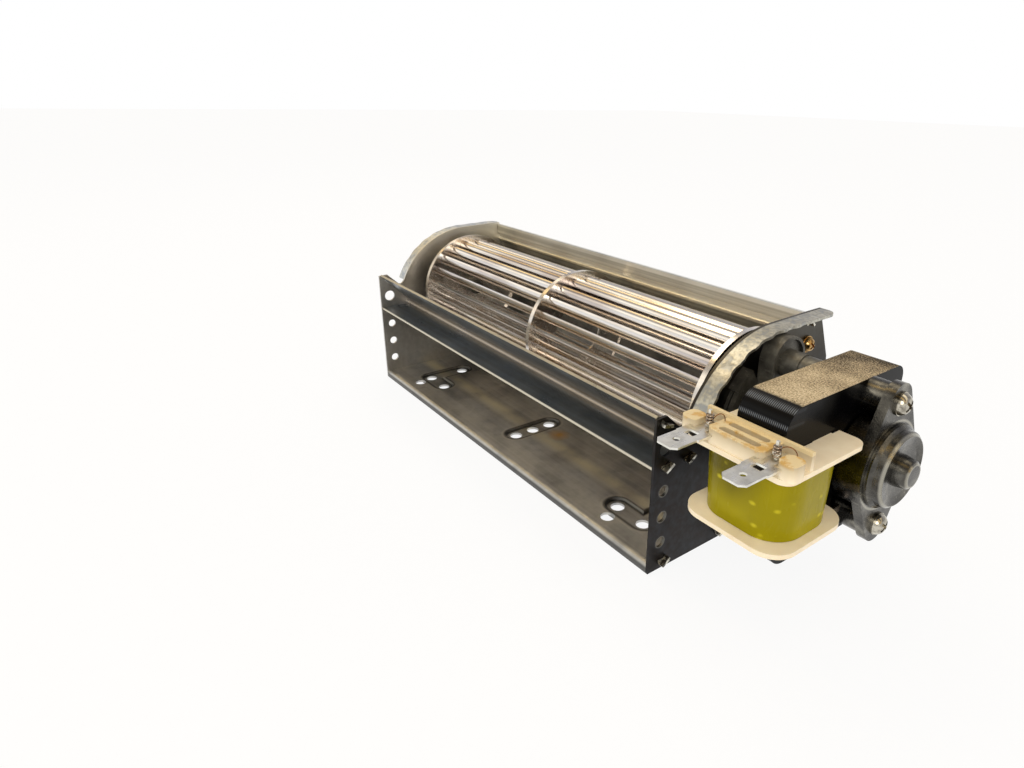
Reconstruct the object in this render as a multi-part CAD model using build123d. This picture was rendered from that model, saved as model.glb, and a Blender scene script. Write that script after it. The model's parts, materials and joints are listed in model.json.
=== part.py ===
from build123d import *
from math import asin, atan2, cos, degrees, radians, sin, sqrt
import os

# Cross flow fan: galvanised scroll housing, aluminium drum impeller and a
# shaded pole motor with a C shaped core. Millimetres. X runs along the drum,
# the air leaves to the front through Y = 0, Z is up and the housing stands on Z = 0.

# Housing
length = 168.5          # over the two end plates
sheet = 0.8             # gauge of all housing sheet
axis_y = 40.3           # drum axis behind the outlet plane
axis_z = 37.4           # drum axis above the base
floor_z = 2.8           # top of the floor sheet
scroll_r1 = 31.5        # lower rear wall of the scroll
scroll_r2 = 31.2        # upper rear wall of the scroll
scroll_y = 35.35        # where the floor turns into the scroll
arc_drop = 3.5          # from the strip's foot down to the end of the upper arc
strip_y = 58.5          # front face of the upright top strip
strip_foot_z = 58.2
strip_top_z = 62.3
bead_step = 1.1         # depth of the stiffening bead under the strip
floor_bend = 1.8        # outer radius of the floor's front bend
channel_top_z = 45.7    # top edge of the tongue channel
channel_y = 14.3        # corner of the tongue channel
channel_z = 31.6
channel_bend = 1.2
notch_y = 9.2           # notch between channel and inlet rim on each end plate
notch_z = 40.6
notch_r = 1.4
rim_start = (11.0, 42.6)
rim_mid = (22.0, 56.2)
rim_end = (40.5, 62.5)
rim_top_z = 62.8        # flat rear part of the inlet rim
rear_left_y = 59.5
rear_right_y = 64.7
rear_mid = (71.0, 46.6)
rear_low = (71.9, 34.0)
plate_foot_y = 47.0     # where the plate's foot turns up round the scroll
rim_left = 4.6          # width of the outward rim, left plate
rim_right = 5.2         # width of the outward rim, right plate
rim_corner_r = 3.2      # rounded free corner at the rear end of each rim
rim_waves = 7
wave_depth = 0.45
wave_r = 5.0
wave_start = 150        # first wave round the drum axis, degrees
wave_pitch = 13.5
edge_hole_y = 3.95      # column of fixing holes near the front edge
edge_hole_r = 1.55
edge_hole_z = 8.6
edge_hole_pitch = 7.85
corner_hole_r = 2.15
corner_hole_z = 36.7
tab_width = 3.2
tab_gap = 0.1
tab_reach = 1.7         # twisted end outside the plate
tab_twist = 32
floor_hole_r = 2.15
floor_pitch = 7.35      # middle row of floor holes
floor_row_y = 20.4
well_r = 4.4            # rounded ends of the sunk floor wells
well_sink = 0.8
well_x = (18.1, 84.6, 153.1)

# Impeller
wheel_r = 22.5
blade_count = 22
blade_gauge = 0.5
blade_root_r = 20.8
blade_mid_r = 19.0
blade_tip_r = 15.2
blade_mid_turn = 7.1    # degrees the blade's middle trails its outer edge
blade_tip_turn = 5.1
blade_phase = 82.2
disc_gauge = 0.6
rim_band = 1.8          # width of the left and middle disc rims
band_right = 1.7        # width of the right disc's rim
fold_gauge = 0.4        # blade ends folded flat on the end discs
fold_width = 2.4
disc_left_gap = 6.0     # from left plate to left disc
disc_right_gap = 3.7    # from right disc to right plate
slot_gap = 0.06
hub_r = 6.0
hub_sleeve_r = 3.2
hub_flange = 1.4
shaft_r = 2.0
running_gap = 0.05
fixed_gap = 0.02
stub_inside = 6.0
stub_outside = 4.2
coupling_r = 8.5
coupling_length = 5.0

# Left bearing
grommet_r = 9.0
grommet_lip = 1.4
grommet_groove = 1.4    # depth of the groove that takes the plate
bearing_r = 5.0
bearing_length = 5.0
clip_gauge = 0.5

# Motor
motor_gap = 17.6        # right plate to laminations
stack_length = 13.3
stack_front_y = 7.7
stack_rear_y = 55.5
stack_half = 20.5       # half height of the laminations
stack_front_r = 6.0
stack_rear_r = 3.5
core_width = 10.0       # limb inside the coil
core_inset = 0.6        # limb set back from the front of the laminations
window_rear_y = 26.0
limb_high = 10.4        # upper and lower limbs
core_key = 1.2
rotor_r = 12.5
air_gap = 0.4
ring_overhang = 1.5
ring_r = 9.6
bolt_half = 16.4        # motor screws above and below the axis
bolt_r = 1.7
bolt_gap = 0.15
pilot_r = 17.7
pilot_height = 4.4
pilot_base = 1.0
pilot_face = 1.4
block_face = 3.4        # height of the raised blocks round the pilot
relief_width = 26.0     # windows above and below the pilot's middle
relief_high = 9.6
relief_z = 15.2
pilot_block = 23.5      # span of each raised block, degrees
arm_r = 6.7
arm_over = 0.7          # arm's ends reach past the rounding about each post
arm_thick = 3.4
arm_rim = 0.8
post_r = 3.6
plate_hole_r = 10.0
peg_r = 1.5
peg_circle_r = 13.4
boss_wall = 1.5
cover_gap = 5.2         # laminations to outer bracket plate
cover_thick = 2.5
cover_post_r = 4.2
ear_r = 5.0
cover_r = 12.0
dome_base_r = 10.8
dome_r = 10.0
dome_high = 3.8
nose_r = 3.6
nose_high = 2.6
skirt_wall = 1.1
skirt_gap = 0.4
head_r = 2.8
head_high = 1.8
washer_r = 3.0
washer_gauge = 0.5
earth_back = 5.4        # earth screw ahead of the plate's rear top corner
earth_drop = 9.8        # and below the rim
earth_r = 1.4
earth_head_r = 2.2
earth_washer_r = 2.5

# Coil
tube_gap = 0.15
tube_wall = 1.0
flange_gauge = 1.2
flange_half_x = 14.5
low_flange_y = (-1.5, 26.3)
top_flange_y = (-1.4, 28.3)
low_corner_r = 6.5
top_corner_r = 3.2
tape_half_x = 12.1      # at the lower flange; the winding widens upwards
tape_y = (1.6, 24.1)
tape_corner_r = 8.0
tape_gauge = 0.4
tape_taper = 2.5
block_high = 3.7        # terminal block above the top flange
block_front = 0.4       # set back from the flange's front edge
wall_high = 4.4
wall_gauge = 1.1
wall_gap = 0.3          # to the front of the laminations
pocket_half = 5.5
pocket_r = 0.95
pocket_y = 2.6          # front pocket behind the flange's front edge
pocket_pitch = 3.2
pocket_floor = 0.8
knob_width = 4.5
knob_gap = 0.4          # either side of the spade's neck
knob_depth = 4.9
knob_r = 1.6
spade_width = 6.3
spade_gauge = 0.5
spade_reach = 12.5      # ahead of the outlet plane
spade_shift = -0.5      # both spades sit a little to the left of the coil's middle
spade_half_pitch = 9.2
spade_high = 1.7        # underside of the spades above the top flange
spade_bevel = 1.2
spade_shoulder = 7.1    # from the tip to the wider body
spade_body_half = 3.45
spade_neck_half = 1.5
spade_neck_end = 5.4
spade_hole_r = 0.85
spade_hole_back = 3.9   # from the tip
spade_window_back = 8.7
spade_window = (2.6, 2.3)
wire_post = (0.7, 0.6, 4.6)
wire_post_y = 2.0
wire_turn_r = 0.74
wire_r = 0.22
wire_turn_count = 4

# Derived positions
right_in = length - sheet
stack_x = length + motor_gap
stack_end = stack_x + stack_length
mid_x = stack_x + stack_length / 2
cover_x = stack_end + cover_gap
cover_out = cover_x + cover_thick
left_disc_x = sheet + disc_left_gap
right_disc_x = right_in - disc_right_gap
arm_x = length + pilot_height
arm_out = arm_x + arm_thick
limb_top = axis_z + stack_half - limb_high
limb_low = axis_z - stack_half + limb_high
earth_y = rear_right_y - earth_back
earth_z = rim_top_z - earth_drop

os.makedirs("parts", exist_ok=True)


def across(x):
    """Plane across the drum at x, drawn in Y and Z."""
    return Plane(origin=(x, 0, 0), x_dir=(0, 1, 0), z_dir=(1, 0, 0))


def run(sketch, x0, x1):
    """Solid between x0 and x1 from a Y-Z sketch."""
    return extrude(across(x0) * sketch, x1 - x0, dir=(1, 0, 0))


def rod(r, x0, x1, y=None, z=None):
    y = axis_y if y is None else y
    z = axis_z if z is None else z
    return run(Pos(y, z) * Circle(r), x0, x1)


def tube(r_out, r_in, x0, x1, y=None, z=None):
    return rod(r_out, x0, x1, y, z) - rod(r_in, x0 - 1, x1 + 1, y, z)


def polar(r, angle):
    """Y and Z of a point round the drum axis."""
    return (axis_y + r * cos(radians(angle)), axis_z + r * sin(radians(angle)))


def cuboid(x0, x1, y0, y1, z0, z1):
    return Pos((x0 + x1) / 2, (y0 + y1) / 2, (z0 + z1) / 2) * Box(x1 - x0, y1 - y0, z1 - z0)


def turned(points):
    """Ring round the drum axis from (x, r) corners."""
    ring = make_face(Polyline([(x, 0, r) for x, r in points], close=True))
    return Pos(0, axis_y, axis_z) * revolve(ring, Axis.X, 360)


def rounded(x0, x1, y0, y1, r):
    """Rounded rectangle seen from above."""
    return Pos((x0 + x1) / 2, (y0 + y1) / 2) * RectangleRounded(x1 - x0, y1 - y0, r)


def slab(sketch, z0, z1):
    return extrude(Pos(0, 0, z0) * sketch, z1 - z0, dir=(0, 0, 1))


def chain(lines):
    """One wire from lines, arcs and polylines drawn end to end."""
    return Wire([edge for line in lines for edge in line.edges()])


def joined(shapes):
    whole = shapes[0]
    for shape in shapes[1:]:
        whole = whole + shape
    return whole


def save(shape, name):
    export_step(shape, "parts/" + name + ".step")


# Twisted tabs hold the sheets to the end plates: Y, Z and the sheet's slope
leg_slope = degrees(atan2(channel_z - channel_top_z, channel_y - sheet / 2))
leg_unit = (cos(radians(leg_slope)), sin(radians(leg_slope)))
channel_tabs = [
    (
        0.5 + 2.9 * leg_unit[0] - leg_unit[1] * sheet / 2,
        channel_top_z + 2.9 * leg_unit[1] + leg_unit[0] * sheet / 2,
        leg_slope,
    ),
    (4.3, channel_z, 0),
    (channel_y - 1.8, channel_z, 0),
]
scroll_tabs = [
    (5.3, floor_z - sheet / 2, 0),
    (28.1, floor_z - sheet / 2, 0),
    (strip_y + sheet / 2, (strip_top_z + strip_foot_z) / 2, 90),
]


def tab_section(tab, gap):
    y, z, slope = tab
    return Pos(y, z) * Rot(0, 0, slope) * Rectangle(tab_width + 2 * gap, sheet + 2 * gap)


def tabs(group):
    """Necks through both plates with their ends twisted outside."""
    parts = []
    for y, z, slope in group:
        twisted = (y, z, slope + tab_twist)
        parts.append(run(tab_section((y, z, slope), 0), -fixed_gap, sheet + 0.5))
        parts.append(run(tab_section((y, z, slope), 0), right_in - 0.5, length + fixed_gap))
        parts.append(run(tab_section(twisted, 0), -tab_reach, -fixed_gap))
        parts.append(run(tab_section(twisted, 0), length + fixed_gap, length + tab_reach))
    return parts


# End plates
def plate_outline(rear_y):
    """Front edge, notch, inlet arc, flat rim, slanted rear and foot arc."""
    low_r = sqrt((rear_low[0] - axis_y) ** 2 + (rear_low[1] - axis_z) ** 2)
    foot_angle = degrees(atan2(-axis_z, plate_foot_y - axis_y))
    low_angle = degrees(atan2(rear_low[1] - axis_z, rear_low[0] - axis_y))
    mid_r = (low_r + sqrt(axis_z ** 2 + (plate_foot_y - axis_y) ** 2)) / 2
    foot_mid = polar(mid_r, (foot_angle + low_angle) / 2)
    edges = [
        Polyline([(0, 0), (0, channel_top_z), (3.6, channel_top_z + 0.2), (notch_y, notch_z)]),
        Line((notch_y, notch_z), rim_start),
        ThreePointArc(rim_start, rim_mid, rim_end),
        Line(rim_end, (rear_y - 6, rim_top_z)),
        Polyline([(rear_y - 6, rim_top_z), (rear_y, rim_top_z), (rear_y + 1, rim_top_z - 3.5)]),
        Polyline([(rear_y + 1, rim_top_z - 3.5), rear_mid, rear_low]),
        ThreePointArc(rear_low, foot_mid, (plate_foot_y, 0)),
        Line((plate_foot_y, 0), (0, 0)),
    ]
    face = make_face(edges)
    return fillet(face.vertices().sort_by_distance((notch_y, notch_z))[0], notch_r)


def rim_strip(rear_y):
    """Edge-on view of the outward rim that follows the inlet arc."""
    inner = [
        ThreePointArc(rim_start, rim_mid, rim_end),
        Polyline([rim_end, (rear_y - 6, rim_top_z), (rear_y, rim_top_z)]),
    ]
    band = offset(chain(inner), amount=sheet, side=Side.RIGHT)
    return make_face(band)


def end_plate(x0, rear_y, side, width):
    plate = run(plate_outline(rear_y), x0, x0 + sheet)
    outer = x0 if side < 0 else x0 + sheet
    span = (outer - width, outer + sheet) if side < 0 else (outer - sheet, outer + width)
    rim = run(rim_strip(rear_y), span[0], span[1])
    free = outer + side * width
    for k in range(rim_waves):
        angle = wave_start - k * wave_pitch
        y, z = polar(scroll_r1, angle)
        wave = Rot(angle - 90, 0, 0) * Cylinder(wave_r, 3 * wave_r)
        rim = rim - Pos(free + side * (wave_r - wave_depth), y, z) * wave
    corner = Pos(free, rear_y, rim_top_z) * Box(2 * rim_corner_r, 2 * rim_corner_r, 2 * rim_corner_r)
    round_x = free - side * rim_corner_r
    round_y = rear_y - rim_corner_r
    corner = corner - Pos(round_x, round_y, rim_top_z) * Cylinder(rim_corner_r, 3 * rim_corner_r)
    plate = plate + (rim - corner)
    holes = [Pos(edge_hole_y, edge_hole_z + k * edge_hole_pitch) * Circle(edge_hole_r) for k in range(3)]
    holes.append(Pos(edge_hole_y, corner_hole_z) * Circle(corner_hole_r))
    holes += [tab_section(tab, tab_gap) for tab in channel_tabs + scroll_tabs]
    for hole in holes:
        plate = plate - run(hole, x0 - 1, x0 + sheet + 1)
    return plate


left_plate = end_plate(0, rear_left_y, -1, rim_left)
left_plate = left_plate - rod(grommet_r - grommet_groove, -1, sheet + 1)
right_plate = end_plate(right_in, rear_right_y, 1, rim_right)
right_plate = right_plate - rod(plate_hole_r, right_in - 1, length + 1)
peg_angles = [133 + 90 * k for k in range(4)]
for peg in peg_angles:
    py, pz = polar(peg_circle_r, peg)
    right_plate = right_plate - rod(peg_r + fixed_gap, right_in - 1, length + 1, py, pz)
right_plate = right_plate - rod(earth_r + fixed_gap, right_in - 1, length + 1, earth_y, earth_z)
save(left_plate, "left_end_plate")
save(right_plate, "right_end_plate")

# Scroll sheet: front lip, floor, two arcs, stiffening bead and upright strip
turn_y = scroll_y + scroll_r1
turn_z = floor_z + scroll_r1
top_z = strip_foot_z - arc_drop
scroll_turn = degrees(asin((top_z - turn_z) / scroll_r2))
top_y = turn_y - scroll_r2 * (1 - cos(radians(scroll_turn)))
sq = sqrt(0.5)
scroll_line = [
    Line((0, 0), (0, floor_z - floor_bend)),
    ThreePointArc(
        (0, floor_z - floor_bend),
        (floor_bend * (1 - sq), floor_z - floor_bend * (1 - sq)),
        (floor_bend, floor_z),
    ),
    Line((floor_bend, floor_z), (scroll_y, floor_z)),
    ThreePointArc(
        (scroll_y, floor_z),
        (scroll_y + scroll_r1 * sq, floor_z + scroll_r1 * (1 - sq)),
        (turn_y, turn_z),
    ),
    ThreePointArc(
        (turn_y, turn_z),
        (
            turn_y - scroll_r2 * (1 - cos(radians(scroll_turn / 2))),
            turn_z + scroll_r2 * sin(radians(scroll_turn / 2)),
        ),
        (top_y, top_z),
    ),
    Polyline([
        (top_y, top_z),
        (strip_y + 0.3, strip_foot_z - 2.6),
        (strip_y + bead_step, strip_foot_z - 1.9),
        (strip_y + bead_step, strip_foot_z - 0.6),
        (strip_y, strip_foot_z),
        (strip_y, strip_top_z),
    ]),
]
scroll_face = make_face(offset(chain(scroll_line), amount=sheet, side=Side.RIGHT))
scroll = run(scroll_face, sheet, right_in)
# The strip's left end is cut away from the plate at a slant
slant = make_face(Polyline([
    (sheet - 0.1, strip_top_z + 0.1),
    (sheet + 1.7, strip_top_z + 0.1),
    (sheet - 0.1, strip_foot_z + 3.4),
], close=True))
slant_plane = Plane(origin=(0, strip_y - 1, 0), x_dir=(1, 0, 0), z_dir=(0, -1, 0))
scroll = scroll - extrude(slant_plane * slant, -4)


def well(paths, sink):
    """Flat-bottomed well with sloped walls round the given centre lines."""
    outer = joined([path_slot(p, well_r) for p in paths])
    inner = joined([path_slot(p, well_r - 0.9) for p in paths])
    body = slab(outer, floor_z - sheet - sink, floor_z - 0.01)
    hollow = joined([slab(inner, floor_z - sink, floor_z), mouth(paths, sink)])
    return body, hollow


def path_slot(path, r):
    (xa, ya), (xb, yb) = path
    spine = sqrt((xb - xa) ** 2 + (yb - ya) ** 2)
    turn = degrees(atan2(yb - ya, xb - xa))
    return Pos((xa + xb) / 2, (ya + yb) / 2) * Rot(0, 0, turn) * SlotOverall(spine + 2 * r, 2 * r)


def mouth(paths, sink):
    rings = []
    for p in paths:
        low = Pos(0, 0, floor_z - sink) * path_slot(p, well_r - 1.2)
        rings.append(extrude(low, sink, dir=(0, 0, 1), taper=-45))
    return joined(rings)


row_low = floor_row_y - floor_pitch
row_high = floor_row_y + floor_pitch
side_low = 12.6
side_high = 27.3
side_pitch = 11.3
front_hole_y = 6.0
front_hole_shift = 3.0
wells = [
    [((well_x[0], side_low), (well_x[0], side_high)),
     ((well_x[0], side_low), (well_x[0] + side_pitch, side_low))],
    [((well_x[1], row_low), (well_x[1], row_high))],
    [((well_x[2], side_low), (well_x[2], side_high)),
     ((well_x[2], side_low), (well_x[2] - side_pitch, side_low))],
]
for paths in wells:
    body, hollow = well(paths, well_sink)
    scroll = scroll + body - hollow
floor_holes = [(well_x[1], floor_row_y + k * floor_pitch) for k in (-1, 0, 1)]
floor_holes += [(well_x[0], side_low), (well_x[0] + side_pitch, side_low)]
floor_holes += [(well_x[0], side_high), (well_x[0] + front_hole_shift, front_hole_y)]
floor_holes += [(well_x[2], side_low), (well_x[2] - side_pitch, side_low)]
floor_holes += [(well_x[2], side_high), (well_x[2] - side_pitch + front_hole_shift, front_hole_y)]
for hx, hy in floor_holes:
    scroll = scroll - Pos(hx, hy, floor_z) * Cylinder(floor_hole_r, 8)
scroll = joined([scroll] + tabs(scroll_tabs))
save(scroll, "scroll_sheet")

# Tongue: a channel open to the front that cuts the air off the drum
channel_line = FilletPolyline(
    [(0.5, channel_top_z), (channel_y, channel_z + sheet / 2), (0.3, channel_z + sheet / 2)],
    radius=channel_bend,
)
channel_face = make_face(offset(chain([channel_line]), amount=sheet, side=Side.LEFT))
channel = run(channel_face, sheet, right_in)
channel = joined([channel] + tabs(channel_tabs))
save(channel, "tongue_channel")


# Impeller
def blade_angles():
    return [blade_phase + k * 360 / blade_count for k in range(blade_count)]


def blade_face(angle, gap):
    """Curved blade strip between its outer and inner edges, grown by gap."""
    line = ThreePointArc(
        polar(blade_root_r, angle),
        polar(blade_mid_r, angle + blade_mid_turn),
        polar(blade_tip_r, angle + blade_tip_turn),
    )
    face = make_face(offset(chain([line]), amount=blade_gauge, side=Side.LEFT))
    return offset(face, gap) if gap else face


def fold_face(angle):
    """Blade end folded flat against the outside of an end disc."""
    near = [
        polar(blade_root_r, angle),
        polar(blade_mid_r, angle + blade_mid_turn),
        polar(blade_tip_r + 0.9, angle + blade_tip_turn),
    ]
    turn = degrees(fold_width / blade_mid_r)
    far = [
        polar(blade_root_r, angle - turn),
        polar(blade_mid_r, angle + blade_mid_turn - turn),
        polar(blade_tip_r + 0.9, angle + blade_tip_turn - turn),
    ]
    return make_face([
        ThreePointArc(*near), Line(near[2], far[2]), ThreePointArc(*reversed(far)), Line(far[0], near[0]),
    ])


blade_x0 = left_disc_x - fold_gauge
blade_x1 = right_disc_x + fold_gauge
blades = []
for angle in blade_angles():
    strip = run(blade_face(angle, 0), blade_x0, blade_x1)
    fold = fold_face(angle)
    strip = strip + run(fold, blade_x0, left_disc_x - fixed_gap)
    strip = strip + run(fold, right_disc_x + fixed_gap, blade_x1)
    blades.append(strip)
save(Compound(children=blades), "impeller_blades")


def disc(web_x0, band_x0, band_x1, bore):
    """Thin slotted disc with a flanged rim."""
    plate = rod(wheel_r, web_x0, web_x0 + disc_gauge) - rod(bore, web_x0 - 1, web_x0 + 1 + disc_gauge)
    plate = plate + tube(wheel_r, wheel_r - disc_gauge, band_x0, band_x1)
    slots = [blade_face(angle, slot_gap) for angle in blade_angles()]
    return plate - run(Sketch() + slots, web_x0 - 1, web_x0 + disc_gauge + 1)


save(
    disc(left_disc_x, left_disc_x, left_disc_x + rim_band, hub_sleeve_r + fixed_gap),
    "impeller_left_disc",
)
middle_x = (left_disc_x + right_disc_x) / 2
save(
    disc(middle_x - disc_gauge / 2, middle_x - rim_band / 2, middle_x + rim_band / 2, blade_tip_r - 5),
    "impeller_middle_disc",
)
save(
    disc(right_disc_x - disc_gauge, right_disc_x - band_right, right_disc_x, hub_sleeve_r + fixed_gap),
    "impeller_right_disc",
)

# Left hub, riveted in the disc, with its stub shaft
hub_x0 = left_disc_x - fixed_gap - hub_flange
left_hub = turned([
    (hub_x0, shaft_r + fixed_gap), (hub_x0, hub_r), (left_disc_x - fixed_gap, hub_r),
    (left_disc_x - fixed_gap, hub_sleeve_r), (left_disc_x + stub_inside - 1, hub_sleeve_r),
    (left_disc_x + stub_inside - 1, shaft_r + fixed_gap),
])
save(left_hub, "impeller_left_hub")
stub_x0 = -stub_outside
save(rod(shaft_r, stub_x0, left_disc_x + stub_inside), "impeller_stub_shaft")

# Left bearing: rubber grommet in the plate with a sintered bush
grommet = turned([
    (-grommet_lip, bearing_r + fixed_gap), (-grommet_lip, grommet_r - 0.8),
    (-grommet_lip + 0.8, grommet_r), (-fixed_gap, grommet_r),
    (-fixed_gap, grommet_r - grommet_groove - fixed_gap),
    (sheet + fixed_gap, grommet_r - grommet_groove - fixed_gap),
    (sheet + fixed_gap, grommet_r), (sheet + grommet_lip - 0.5, grommet_r),
    (sheet + grommet_lip, grommet_r - 0.5), (sheet + grommet_lip, bearing_r + fixed_gap),
])
save(grommet, "left_bearing_grommet")


def bush(x0, length_x):
    """Sintered bush with bevelled rims."""
    bevel = 0.4
    x1 = x0 + length_x
    bore = shaft_r + running_gap
    return turned([
        (x0, bore), (x0, bearing_r - bevel), (x0 + bevel, bearing_r),
        (x1 - bevel, bearing_r), (x1, bearing_r - bevel), (x1, bore),
    ])


left_bush_x = sheet / 2 - bearing_length / 2
save(bush(left_bush_x, bearing_length), "left_bearing_bush")

# Right hub: rubber coupling between the drum and the motor shaft
coupling_x = right_disc_x + fold_gauge + fixed_gap
coupling = turned([
    (coupling_x, shaft_r + fixed_gap), (coupling_x, coupling_r),
    (coupling_x + 1.6, coupling_r), (coupling_x + 2.2, coupling_r - 2.0),
    (coupling_x + coupling_length, coupling_r - 3.2),
    (coupling_x + coupling_length, shaft_r + fixed_gap),
])
plug = tube(hub_sleeve_r, shaft_r + fixed_gap, right_disc_x - 3.4, coupling_x)
cap = tube(hub_r, shaft_r + fixed_gap, right_disc_x - 3.4, right_disc_x - disc_gauge - fixed_gap)
save(joined([coupling, plug, cap]), "rubber_coupling")

# Laminations: C shaped stack with two limbs, window and rotor bore
bore_r = rotor_r + air_gap
stack = run(
    Pos((stack_front_y + stack_rear_y) / 2, axis_z)
    * Rectangle(stack_rear_y - stack_front_y, 2 * stack_half),
    stack_x, stack_end,
)
front_edges = stack.edges().filter_by(Axis.X).group_by(Axis.Y)[0]
stack = fillet(front_edges, stack_front_r)
rear_edges = stack.edges().filter_by(Axis.X).group_by(Axis.Y)[-1]
stack = fillet(rear_edges, stack_rear_r)
core_y0 = stack_front_y + core_inset
core_y1 = core_y0 + core_width
window = Pos(window_rear_y / 2 - 5, axis_z) * Rectangle(window_rear_y + 10, limb_top - limb_low)
key = Pos((core_y0 + core_y1) / 2, axis_z) * Rectangle(
    core_width - 3 + 2 * fixed_gap, limb_top - limb_low + 2 * core_key + 2 * fixed_gap
)
stack = stack - run(window, stack_x - 1, stack_end + 1) - run(key, stack_x - 1, stack_end + 1)
stack = stack - rod(bore_r, stack_x - 1, stack_end + 1)
for side in (-1, 1):
    stack = stack - rod(
        bolt_r + bolt_gap, stack_x - 1, stack_end + 1, axis_y, axis_z + side * bolt_half
    )
# Shading slots above and below the rotor on opposite sides, with their rings
shade_w = 2.2
shade_y = 8.4
for side in (-1, 1):
    slot = Pos(axis_y + side * shade_y, axis_z + side * (bore_r - 1.6)) * Rectangle(shade_w, 5.6)
    stack = stack - run(slot, stack_x - 1, stack_end + 1)
save(stack, "stator_laminations")

rings = []
for side in (-1, 1):
    cy = axis_y + side * shade_y
    cz = axis_z + side * (bore_r - 0.4)
    bar = Pos(cy, cz) * Rectangle(shade_w - 0.3, 1.8)
    limb = run(bar, stack_x - 1.4, stack_end + 1.4)
    over = Pos(cy + side * 1.6, cz) * Rectangle(shade_w + 3.2, 1.8)
    limb = limb + run(over, stack_x - 1.4, stack_x - 0.1) + run(over, stack_end + 0.1, stack_end + 1.4)
    rings.append(limb)
save(Compound(children=rings), "shading_rings")

core = run(
    Pos((core_y0 + core_y1) / 2, axis_z)
    * Rectangle(core_width, limb_top - limb_low - 2 * fixed_gap),
    stack_x, stack_end,
)
key_bar = Pos((core_y0 + core_y1) / 2, axis_z) * Rectangle(
    core_width - 3, limb_top - limb_low + 2 * core_key
)
save(core + run(key_bar, stack_x, stack_end), "coil_core")

# Rotor: steel stack with cast end rings on the shaft
rotor = tube(rotor_r, shaft_r + fixed_gap, stack_x + 0.2, stack_end - 0.2)
rotor = rotor + tube(ring_r, ring_r - 3.2, stack_x - ring_overhang, stack_end + ring_overhang)
save(rotor, "motor_rotor")

# Inner bracket: pilot on the plate, vertical arm with two posts and bush seat
inner_post_hole = bolt_r + bolt_gap
bush_x = arm_out - 1.2
seat_end = bush_x + bearing_length + 0.6
face_x1 = length + block_face
pilot_open_r = bearing_r + boss_wall + 1.5
base_ring = tube(pilot_r - 1.4, pilot_open_r, length + fixed_gap, length + pilot_base)
face_ring = rod(pilot_r - 0.6, face_x1 - pilot_face, face_x1)
bracket = base_ring + face_ring
for side in (-1, 1):
    relief = Pos(axis_y, axis_z + side * relief_z) * Rectangle(relief_width, relief_high)
    bracket = bracket - run(relief, length - 1, arm_x + 1)
for peg in peg_angles:
    wedge = make_face([
        Line((axis_y, axis_z), polar(30, peg - pilot_block / 2)),
        Line(polar(30, peg - pilot_block / 2), polar(30, peg + pilot_block / 2)),
        Line(polar(30, peg + pilot_block / 2), (axis_y, axis_z)),
    ])
    ring = tube(pilot_r, pilot_open_r, length + fixed_gap, face_x1)
    lug = ring & run(wedge, length - 1, arm_x + 1)
    py, pz = polar(peg_circle_r, peg)
    lug = lug + rod(peg_r, right_in, length + 1, py, pz)
    bracket = bracket + lug
arm = run(
    Pos(axis_y, axis_z) * Rot(0, 0, 90) * SlotOverall(2 * (bolt_half + arm_over + arm_r), 2 * arm_r),
    arm_x - pilot_face, arm_out,
)
arm_face = Pos(axis_y, axis_z) * Rot(0, 0, 90) * SlotOverall(
    2 * (bolt_half + arm_over + arm_r - arm_rim), 2 * (arm_r - arm_rim)
)
arm = arm - run(arm_face, arm_out - 0.8, arm_out + 1)
bracket = bracket + arm
for side in (-1, 1):
    bz = axis_z + side * bolt_half
    post = rod(post_r, arm_x, stack_x - fixed_gap, axis_y, bz)
    bracket = bracket + post + rod(post_r + 0.3, arm_x, arm_x + (stack_x - arm_x) * 0.62, axis_y, bz)
bracket = bracket + rod(bearing_r + boss_wall, arm_x, seat_end)
bracket = bracket - rod(bearing_r + fixed_gap, bush_x - fixed_gap, seat_end + 1)
bracket = bracket - rod(shaft_r + 1, length - 1, seat_end)
for side in (-1, 1):
    bz = axis_z + side * bolt_half
    bracket = bracket - rod(inner_post_hole, arm_x + 1.2, stack_x + 1, axis_y, bz)
save(bracket, "inner_bracket")
save(bush(bush_x, bearing_length), "inner_bearing_bush")
clip_x = bush_x + bearing_length + fixed_gap
save(tube(bearing_r - 0.2, shaft_r + 0.8, clip_x, clip_x + clip_gauge), "inner_bearing_clip")

# Outer bracket: diamond plate, two posts, skirt and domed bush seat
ears = [Pos(axis_y, axis_z + side * bolt_half) * Circle(ear_r) for side in (-1, 1)]
hull_edges = Sketch() + (ears + [Pos(axis_y, axis_z) * Circle(cover_r)])
diamond = make_hull(hull_edges.edges())
cover = run(diamond, cover_x, cover_out)
cover = cover + tube(cover_r, cover_r - skirt_wall, stack_end + skirt_gap, cover_x)
dome_top = cover_out + dome_high
nose_top = dome_top + nose_high
dome = turned([
    (cover_x, 0), (cover_x, dome_base_r), (cover_out + 0.9, dome_base_r),
    (cover_out + 1.4, dome_base_r - 0.5), (cover_out + 1.7, dome_r),
    (dome_top - 0.8, dome_r - 0.2), (dome_top, dome_r - 1.0),
    (dome_top - 0.5, dome_r - 3.2), (dome_top - 0.7, nose_r + 0.5),
    (nose_top - 0.6, nose_r), (nose_top, nose_r - 0.6), (nose_top, 0),
])
cover = cover + dome
for side in (-1, 1):
    bz = axis_z + side * bolt_half
    cover = cover + rod(cover_post_r, stack_end + fixed_gap, cover_out, axis_y, bz)
cavity_r = cover_r - skirt_wall
out_bush_x = cover_x - 0.8
cover = cover - rod(cavity_r, stack_end - 1, cover_x) + rod(bearing_r + boss_wall, out_bush_x, cover_x)
cover = cover - rod(bearing_r + fixed_gap, out_bush_x - 1, out_bush_x + bearing_length + fixed_gap)
cover = cover - rod(shaft_r + 0.5, cover_x - 1, dome_top)
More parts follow.
